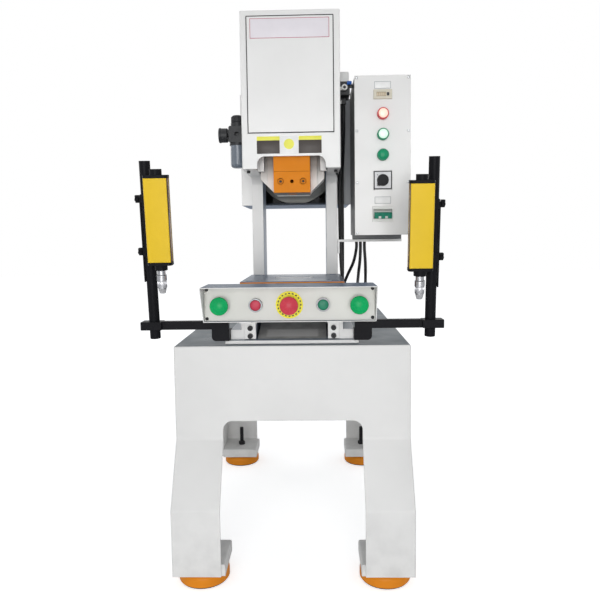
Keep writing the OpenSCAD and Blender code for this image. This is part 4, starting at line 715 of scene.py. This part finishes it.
mark = slab("dial_mark", about(0, 0.0016), about(0, 0.0003), (0, 0.0002), 0.00004)
fitted(ring_of(mark, "gauge_dial_marks", 30, gauge_r - 0.0058,
               gauge_place @ Matrix.Translation((0, 0, -0.0019)), moulded_black), "black_plastic")
fitted(slab("gauge_needle", (gauge_low.x + 0.0012, gauge_low.x + 0.0016), about(gauge_y, 0.0005),
            (gauge_z - 0.010, gauge_z + 0.003), 0.0001, moulded_black), "black_plastic")
unit_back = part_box("regulator_body")[1].y
fitted(turned("hose_collar", [
    (0.0041, 0.002), (0.0069, 0.002), (0.0069, 0), (0.0078, -0.0010), (0.0078, -0.006), (0.0072, -0.0065),
    (0.0041, -0.0065), (0.0041, 0.002)], facing("back", unit_x, unit_back, gauge_z), hose_blue), "blue_hose")

# Solenoid valve: a die-cast valve body on the head's right side with a white moulded coil on it.
# A white fitting and a blue release ring close its front port, and two white plugs sit in the head.
valve_metal = mottled("valve_metal", (0.035, 0.036, 0.038), 0.42, metallic=0.3, grit=500)
dressed("solenoid_valve", "valve_casting", 0.0015, 0.0008, "zinc_steel", valve_metal)
valve_low, valve_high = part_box("solenoid_valve")
valve_x, port_y, port_z = (valve_low.x + valve_high.x) / 2, valve_low.y, valve_high.z - 0.044
coil_white = mottled("coil_white", (0.80, 0.80, 0.78), 0.4, grit=800)
fitted(slab("valve_coil", (valve_low.x + 0.0022, valve_high.x - 0.0022), (port_y + 0.0172, port_y + 0.0408),
            (valve_high.z - 0.026, valve_high.z + 0.001), 0.003, coil_white), "white_plastic")
fitted(turned("valve_fitting", [
    (0.0041, -0.004), (0.0062, -0.004), (0.0062, 0.002), (0.0078, 0.003), (0.0078, 0.009), (0.0070, 0.010),
    (0.0041, 0.010), (0.0041, -0.004)], facing("front", valve_x, port_y + 0.008, port_z), coil_white),
    "white_plastic")
fitted(turned("valve_release_ring", [(0, 0), (0.0048, 0), (0.0048, 0.010), (0.0040, 0.012), (0, 0.012)],
              facing("right", valve_high.x - 0.008, port_y + 0.004, port_z + 0.012), hose_blue), "blue_hose")
for name, y, z in (("upper", -0.097, 1.201), ("lower", -0.064, 1.172)):
    fitted(turned(name + "_port_plug", [
        (0, 0), (0.0052, 0), (0.0052, 0.004), (0.0045, 0.005), (0.0045, 0.008), (0.0036, 0.009), (0, 0.009)],
        facing("right", valve_low.x, y, z), coil_white), "white_plastic")

# Two-hand control box: a welded sheet box on two bent brackets, painted with the press, whose top and
# sides hood the buttons. Its front panel is screwed in and has a slightly greyer coat.
# Painted reflection: the box's top carries a darker blue-grey, standing in for the room reflected in its gloss.
box_paint = powder_coat("box_paint", machine_white, 0.30, painted_top_reflection=(0.10, 0.145, 0.22), shine=0.03)
box_panel_paint = powder_coat("box_panel_paint", (0.555, 0.55, 0.51), 0.40)
dressed("control_box", "control_box_shell", 0.0016, 0.0006, "machine_paint", box_paint)
dressed("control_panel", "control_panel_sheet", 0.0008, 0.0004, "machine_paint", box_panel_paint)
dressed("control_box_brackets", "box_brackets", 0.0020, 0.0008, "machine_paint", machine_paint)

# Buttons: bright chromed bezels, two green palm buttons at the ends, a red stop and a green start
# button, and a red emergency stop on its yellow disc. The caps are glossy moulded plastic.
chrome = mottled("bezel_chrome", (0.27, 0.275, 0.285), 0.42, metallic=0.7, patch=60, grit=1500, depth=0.00002)
dressed("button_bodies", "button_bezels", 0.0016, 0.0006, "bezel_chrome", chrome, broad=0.00004)


def gloss_plastic(name, colour, roughness=0.24):
    """Glossy moulded plastic with faint flow marks."""
    material, tree, shader = surface(name, colour, roughness, {"Specular IOR Level": 0.15})
    tone = clouded(tree, noise(tree, 45, 3), (0.4, 0.7), colour, 0.88)
    detailed(tree, shader, tone, noise(tree, 160, 3), roughness, (0.8, 1.3))
    relief(tree, shader, noise(tree, 900, 2), 0.10, 0.0001)
    return material


palm_green = gloss_plastic("palm_green", (0.004, 0.36, 0.105))
stop_red = gloss_plastic("stop_red", (0.50, 0.050, 0.085))
start_green = gloss_plastic("start_green", (0.028, 0.21, 0.122))
estop_red = gloss_plastic("estop_red", (0.565, 0.052, 0.078))


def cap_profile(r, depth, rim, crown, dish):
    """The profile of a cap: its stem, a flat underside, a rounded rim and a crowned or dished face."""
    under = depth - rim - crown
    stem = 0.0058 if r < 0.014 else 0.0073
    curve = [(r - rim * 0.35 * (1 - math.cos(a)), under + rim * (0.55 + 0.45 * math.sin(a)))
             for a in (math.radians(t) for t in (0, 30, 60, 90))]
    top_r = curve[-1][0]
    dome = [(top_r * (1 - t), depth - crown + crown * (1 - (1 - t) ** 2) - dish * (t ** 3))
            for t in (0.15, 0.3, 0.5, 0.7, 0.85)]
    return [(0, 0), (stem, 0), (stem, under), (r - 0.0012, under), (r, under + 0.0010), *curve, *dome,
            (0, depth - dish)]


for node, name, rim, crown, dish, finish, slot in (
        ("left_palm_button", "left_palm_cap", 0.008, 0.005, 0.0, palm_green, "green_plastic"),
        ("right_palm_button", "right_palm_cap", 0.008, 0.005, 0.0, palm_green, "green_plastic"),
        ("estop_button", "emergency_stop_cap", 0.008, 0.005, 0.0, estop_red, "red_plastic"),
        ("start_button", "start_cap", 0.005, 0.0015, 0.0004, start_green, "dark_green_plastic"),
        ("stop_button", "stop_cap", 0.005, 0.0015, 0.0004, stop_red, "red_plastic")):
    low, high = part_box(node)
    place = facing("front", (low.x + high.x) / 2, high.y, (low.z + high.z) / 2)
    profile = cap_profile((high.x - low.x) / 2, high.y - low.y, rim, crown, dish)
    fitted(turned(name, profile, place, finish), slot, node, body=node)

disc_low, disc_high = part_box("estop_disc")
disc_x, disc_z = (disc_low.x + disc_high.x) / 2, (disc_low.z + disc_high.z) / 2
disc_r, disc_t, hole_r = (disc_high.x - disc_low.x) / 2, disc_high.y - disc_low.y, 0.0115
disc_yellow = enamel("disc_yellow", (0.80, 0.72, 0.020), 0.34, shade=0.95)
fitted(turned("emergency_stop_disc", [
    (hole_r, 0), (disc_r, 0), (disc_r, disc_t - 0.0004), (disc_r - 0.0004, disc_t), (hole_r, disc_t),
    (hole_r, 0)], facing("front", disc_x, disc_high.y, disc_z), disc_yellow, segments=64),
    "yellow_disc", "estop_disc")
dash = slab("disc_dash", about(0, 0.0013), about(0, 0.0021), (0, 0.0003), 0.00005)
fitted(ring_of(dash, "emergency_stop_disc_dashes", 20, disc_r - 0.0048,
               facing("front", disc_x, disc_low.y + 0.0001, disc_z), moulded_black), "black_plastic")

# Panel screws: pan heads with a cross recess, blackened in the control panel and zinc plated in the
# cabinet door. Each is driven through the sheet into a tapped tab.
screw_tree, screw_ids, given = new_geometry_tree(
    "screws_at_places", Places="Object", Screw="Object", Finish="Material")
spots, pattern = (add(screw_tree, "GeometryNodeObjectInfo", {"Object": given[key]})["Geometry"]
                  for key in ("Places", "Screw"))
heads = add(screw_tree, "GeometryNodeInstanceOnPoints", {"Points": spots, "Instance": pattern})
coated(screw_tree, heads["Instances"], given["Finish"])


def pan_screw(name, r, h, shank_r, shank_l):
    """A pan-head screw with a sunk cross, its head facing the operator and its seat at the origin."""
    bm = bmesh.new()
    arm, reach, sink, taper = r * 0.17, r * 0.62, h * 0.55, 0.75
    rim = [(r * math.cos(a), r * math.sin(a)) for a in (math.radians(7.5 + 15 * k) for k in range(24))]
    rings = []
    for radius, height in ((r, 0.0), (r, h * 0.35), (r * 0.93, h * 0.7), (r * 0.78, h * 0.95)):
        rings.append([bm.verts.new((x * radius / r, -height, z * radius / r)) for x, z in rim])
    for low, high in zip(rings, rings[1:]):
        band(bm, low, high)
    cross = [(arm, reach), (-arm, reach), (-arm, arm), (-reach, arm), (-reach, -arm), (-arm, -arm),
             (-arm, -reach), (arm, -reach), (arm, -arm), (reach, -arm), (reach, arm), (arm, arm)]
    lip = [bm.verts.new((x, -h, z)) for x, z in cross]
    pit = [bm.verts.new((x * taper, -h + sink, z * taper)) for x, z in cross]
    band(bm, lip, pit)
    bm.faces.new(pit)
    outer = [edge for edge in bm.edges if len(edge.link_faces) == 1
             and all(abs(v.co.y + h * 0.95) < 1e-7 or abs(v.co.y + h) < 1e-7 for v in edge.verts)]
    bmesh.ops.bridge_loops(bm, edges=outer)
    shank = [[bm.verts.new((shank_r * math.cos(a), depth, shank_r * math.sin(a)))
              for a in (2 * math.pi * k / 12 for k in range(12))] for depth in (0.0, shank_l)]
    band(bm, *shank)
    for ring in (shank[1], rings[0], shank[0]):
        bm.faces.new(ring)
    return shaped(name, bm, 40)


box_low, box_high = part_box("control_panel")
door_low, door_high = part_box("cabinet_door")
corner, door_inset = 0.0055, 0.006
door_h = door_high.z - door_low.z
box_screw_places = [(x, box_low.y, z) for x in (box_low.x + corner, box_high.x - corner)
                    for z in (box_low.z + corner, box_high.z - corner)]
door_screw_places = [(x, door_low.y, z) for x in (door_low.x + door_inset, door_high.x - door_inset)
                     for z in (door_low.z + door_inset, door_high.z - 2 * door_h / 3,
                               door_high.z - door_h / 3 - 0.004, door_high.z - door_inset)]
for name, places, finish in (("box_screw_heads", box_screw_places, black_oxide),
                             ("door_screw_heads", door_screw_places, zinc)):
    points = bpy.data.meshes.new(name + "_places")
    points.from_pydata(places, [], [])
    fitted(grown(screw_tree, screw_ids, name, Places=shown(name + "_places", points),
                 Screw=pan_screw("panel_screw", 0.0038, 0.0024, 0.0019, 0.006), Finish=finish),
           "zinc_steel", "panel_screws")

# Electrical cabinet: a dark grey sheet box hung beside the head on brackets, with an off-white door.
# Its glands below take the cables to the control box and the bed.
cabinet_grey = mottled("cabinet_grey", (0.17, 0.175, 0.178), 0.40, shade=0.82, patch=6, grit=420, depth=0.0003)
duct_grey = mottled("duct_grey", (0.36, 0.37, 0.385), 0.45, patch=12, grit=600)
dressed("cabinet_body", "cabinet_box", 0.0030, 0.0008, "dark_grey_paint", cabinet_grey)
dressed("cabinet_door", "cabinet_door_sheet", 0.0009, 0.0004, "machine_paint", machine_paint)
dressed("cabinet_brackets", "cabinet_hangers", 0.0012, 0.0008, "machine_paint", machine_paint)
dressed("wiring_duct", "wiring_duct_channel", 0.0012, 0.0006, "dark_grey_paint", duct_grey)
door_x, door_y = (door_low.x + door_high.x) / 2, door_low.y
label_w, label_h, border_w = 0.040, 0.016, 0.0012
for name, z in (("upper_strip", 1.199), ("lower_strip", 0.903)):
    fitted(slab(name + "_border", about(door_x, label_w / 2 + border_w), (door_y - 0.0003, door_y),
                about(z, label_h / 2 + border_w), 0.00008, duct_grey), "dark_grey_paint")
    fitted(slab(name, about(door_x, label_w / 2), (door_y - 0.0006, door_y), about(z, label_h / 2), 0.0001,
                plate_white), "white_plastic")

# Stroke counter: a beige moulded case through the door, with a clear window over its number wheels.
# A small reset key sits at its right.
counter_beige = mottled("counter_beige", (0.62, 0.58, 0.48), 0.40, shade=0.94, grit=800)
dressed("stroke_counter", "counter_case", 0.0012, 0.0006, "beige_plastic", counter_beige, broad=0.00004)
counter_low, counter_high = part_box("stroke_counter")
counter_y, counter_z = counter_low.y, (counter_low.z + counter_high.z) / 2
window, tree, shader = surface("counter_window", (0.34, 0.29, 0.21), 0.15)
relief(tree, shader, noise(tree, 300, 2), 0.05, 0.0001)
fitted(slab("counter_pane", (door_x - 0.0165, door_x + 0.0085), (counter_y + 0.0004, counter_y + 0.0011),
            about(counter_z, 0.0055), 0.0002, window), "black_plastic")
wheel_tan = enamel("wheel_tan", (0.60, 0.50, 0.36), 0.4, patch=60)
first_wheel_x, wheel_gap = door_x - 0.0142, 0.0050
for k in range(5):
    fitted(slab(f"counter_wheel_{k}", about(first_wheel_x + wheel_gap * k, 0.0019),
                (counter_y + 0.0002, counter_y + 0.0007), about(counter_z, 0.0040), 0.0002, wheel_tan),
           "beige_plastic")
fitted(slab("counter_key", (door_x + 0.0105, door_x + 0.0165), about(counter_y, 0.0012),
            about(counter_z, 0.0040), 0.0008, moulded_black), "black_plastic")

# Pilot lamps: three moulded lamps in a row on the door, red above and green below.
# The upper two are lit, so their lenses glow nearly white inside a coloured rim.
lamp_low, lamp_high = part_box("pilot_lamps")
lamp_r = (lamp_high.x - lamp_low.x) / 2
lamp_top, lamp_foot = lamp_high.z - lamp_r, lamp_low.z + lamp_r
lamp_y = lamp_low.y
lamp_out = door_y - lamp_y
rim_red = gloss_plastic("lamp_rim_red", (0.72, 0.10, 0.11))
rim_green = gloss_plastic("lamp_rim_green", (0.03, 0.30, 0.16))
lens_green = gloss_plastic("lens_green", (0.015, 0.30, 0.14), 0.16)


def lit_lens(name, colour, glow):
    """A lit lens: nearly white where its bulb shines through."""
    material, tree, shader = surface(name, colour, 0.2, {"Emission Color": (*colour, 1)})
    uneven = ranged(tree, noise(tree, 60, 2), (0.2, 0.8), (glow * 0.9, glow * 1.1))
    join(tree, shader, {"Emission Strength": uneven})
    return material


red_lit = lit_lens("lens_red_lit", (0.86, 0.66, 0.54), 0.36)
green_lit = lit_lens("lens_green_lit", (0.66, 0.86, 0.73), 0.34)
for name, z, rim, lens in (("upper_lamp", lamp_top, rim_red, red_lit),
                           ("middle_lamp", (lamp_top + lamp_foot) / 2, rim_green, green_lit),
                           ("lower_lamp", lamp_foot, rim_green, lens_green)):
    place = facing("front", door_x, lamp_y, z)
    fitted(turned(name + "_rim", [
        (0.0105, -0.030), (0.0108, -0.030), (0.0108, -lamp_out), (lamp_r, -lamp_out), (lamp_r, -0.0065),
        (lamp_r - 0.0012, -0.0042), (lamp_r - 0.0028, -0.0036), (0.0124, -0.0036), (0.0120, -0.0050),
        (0.0105, -0.0050), (0.0105, -0.030)], place, rim), "green_plastic", "pilot_lamps")
    fitted(turned(name + "_lens", [
        (0, -0.0065), (0.0119, -0.0065), (0.0121, -0.0042), (0.0116, -0.0028), (0.0098, -0.0013),
        (0.0060, -0.0004), (0, 0)], place, lens), "green_plastic", "pilot_lamps")

# Selector: a black knob with a pointer lever on a square metal plate with a dark border.
# Short marks on the plate show its two positions.
plate_low, plate_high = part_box("selector_plate")
plate_x, plate_cz = (plate_low.x + plate_high.x) / 2, (plate_low.z + plate_high.z) / 2
selector_dark = mottled("selector_dark", (0.030, 0.030, 0.032), 0.40, grit=800)
dressed("selector_plate", "selector_plate_back", 0.0008, 0.0004, "zinc_steel", selector_dark, broad=0.00004)
plate_silver = enamel("plate_silver", (0.80, 0.80, 0.81), 0.50)
half, hole_r, sides = (plate_high.x - plate_low.x) / 2 - 0.0028, 0.0155, 40
face_y, face_t = plate_low.y - 0.0001, 0.0004
bm = bmesh.new()
hole, rim = [], []
for k in range(sides):
    a = 2 * math.pi * k / sides
    c, s = math.cos(a), math.sin(a)
    reach = half / max(abs(c), abs(s))
    hole.append(bm.verts.new((plate_x + hole_r * c, face_y, plate_cz + hole_r * s)))
    rim.append(bm.verts.new((plate_x + reach * c, face_y, plate_cz + reach * s)))
for k in range(sides):
    n = (k + 1) % sides
    bm.faces.new((hole[k], rim[k], rim[n], hole[n]))
solid = bmesh.ops.extrude_face_region(bm, geom=list(bm.faces))
for v in (e for e in solid["geom"] if isinstance(e, bmesh.types.BMVert)):
    v.co.y += face_t
fitted(shaped("selector_plate_face", bm, 32, plate_silver), "bezel_chrome")
mark_r = 0.0245 * 0.78
for name, angle in (("off", 225), ("on", 135)):
    a = math.radians(angle)
    place = Matrix.Translation((plate_x + mark_r * math.cos(a), face_y, plate_cz + mark_r * math.sin(a)))
    fitted(slab("selector_mark_" + name, about(0, 0.0022), (-0.0003, 0.0), about(0, 0.0006), 0.00006,
                selector_dark, place=place @ Matrix.Rotation(-a, 4, "Y")), "black_plastic")
knob_black = mottled("knob_black", (0.016, 0.016, 0.018), 0.40, shade=0.8, grit=650, shine=0.12)
dressed("selector_knob", "selector_knob_lever", 0.0012, 0.0007, "black_plastic", knob_black,
        body="selector_knob", broad=0.00004)

# Breaker: a white moulded circuit breaker behind the door, with its green three-pole handle in a slot.
# The handle's bar joins the three poles, and its drum and the webs between the poles are white.
breaker_white = mottled("breaker_white", (0.76, 0.76, 0.73), 0.38, grit=800)
dressed("breaker_body", "breaker_case", 0.0010, 0.0005, "white_plastic", breaker_white, broad=0.00004)
breaker_green = gloss_plastic("breaker_green", (0.018, 0.215, 0.135), 0.3)
breaker_low, breaker_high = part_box("breaker_body")
breaker_x, pivot_z = (breaker_low.x + breaker_high.x) / 2, (breaker_low.z + breaker_high.z) / 2
pivot_y, drum_r, web_x = door_y + 0.007, 0.0093, 0.0085
dressed("breaker_toggle", "breaker_handle", 0.0005, 0.0003, "green_plastic", breaker_green, breaker_white,
        body="breaker_toggle", broad=0.00004,
        choose=lambda face: int(math.hypot(face.center.y - pivot_y, face.center.z - pivot_z) < drum_r))
handle_turn = Matrix.Translation((breaker_x, pivot_y, pivot_z)) @ Matrix.Rotation(math.radians(12), 4, "X")
for side, x in (("left", -web_x), ("right", web_x)):
    fitted(slab("breaker_web_" + side, about(x, 0.0034), (-0.0196, -0.0070), (-0.0080, -0.0023), 0.0004,
                breaker_white, place=handle_turn), "white_plastic", body="breaker_toggle")

# Light curtain: a yellow housing on a leaning black post at each side, clamped with star knobs so that
# it slides up and down. The optics look inwards through a dark window, and a plug hangs below.
post_black = mottled("post_black", (0.010, 0.010, 0.012), 0.40, shade=0.8, grit=500, shine=0.06)
dressed("curtain_arms", "curtain_arm_bars", 0.0020, 0.0010, "black_steel", post_black)
keep(post_black, "curtain_posts")
curtain_yellow = mottled("curtain_yellow", (0.755, 0.505, 0.024), 0.36, shade=0.96, patch=14, depth=0.0001,
                         shine=0.15)
optics_brown, tree, shader = surface("optics_brown", (0.20, 0.075, 0.025), 0.16)
streaks = ranged(tree, noise(tree, 40, 3, (1, 1, 0.15)), (0.35, 0.7))
join(tree, shader, {"Base Color": two_tone(tree, streaks, (0.30, 0.115, 0.030), (0.10, 0.035, 0.018))})
relief(tree, shader, noise(tree, 200, 2), 0.08, 0.0002)
plug_metal = mottled("plug_metal", (0.66, 0.66, 0.68), 0.20, metallic=1.0, shade=0.85, grit=900, depth=0.00005)
boot_grey = mottled("boot_grey", (0.42, 0.42, 0.43), 0.45, shade=0.8, patch=30, grit=600)
post_foot, lean = Vector((0, -0.315, 0.603)), math.radians(6.5)
leaned = Matrix.Translation(post_foot) @ Matrix.Rotation(lean, 4, "X")
housing_x, housing_y = 0.2955, -0.0325
housing_w, housing_h, optics_w, play = 0.054, 0.189, 0.018, 0.0002
inner_x = housing_x - housing_w / 2
for side, sign, centre in (("left", -1, 0.253), ("right", 1, 0.233)):
    body = side + "_curtain"
    dressed(body + "_housing", side + "_housing_extrusion", 0.0016, 0.0008, "curtain_yellow", curtain_yellow,
            selector_dark, body=body, broad=0.0002,
            choose=lambda face: int(face.normal.x * sign < -0.8 and abs(face.center.x) < inner_x + 0.004))
    fitted(slab(side + "_optics_window", sorted(sign * (inner_x + depth) for depth in (0.0004, 0.0029)),
                about(housing_y, optics_w / 2 - play), about(centre, housing_h / 2 - play), 0.0004,
                optics_brown, place=leaned), "black_plastic", body=body)
    dressed(body + "_fittings", side + "_curtain_clamps", 0.0012, 0.0006, "black_plastic", post_black,
            body=body)
    plug_place = leaned @ Matrix.Translation((sign * housing_x, housing_y, centre - housing_h / 2 - 0.019))
    fitted(turned(side + "_plug_shell", [
        (0, 0), (0.0095, 0), (0.0095, -0.010), (0.0108, -0.0105), (0.0115, -0.0112), (0.0115, -0.0235),
        (0.0105, -0.0245), (0.0100, -0.042), (0.0092, -0.043), (0, -0.043)], plug_place, plug_metal),
        "zinc_steel", body + "_connector", body=body)
    rib = slab(side + "_plug_rib", (-0.0004, 0.0009), about(0, 0.0007), (-0.0405, -0.0260), 0.0003)
    fitted(ring_of(rib, side + "_plug_ribs", 26, 0.0101, plug_place, plug_metal), "zinc_steel", body=body)
    fitted(turned(side + "_plug_boot", [
        (0, -0.0425), (0.0090, -0.0425), (0.0088, -0.046), (0.0066, -0.0535), (0.0058, -0.054), (0, -0.054)],
        plug_place, boot_grey), "zinc_steel", body + "_connector", body=body)
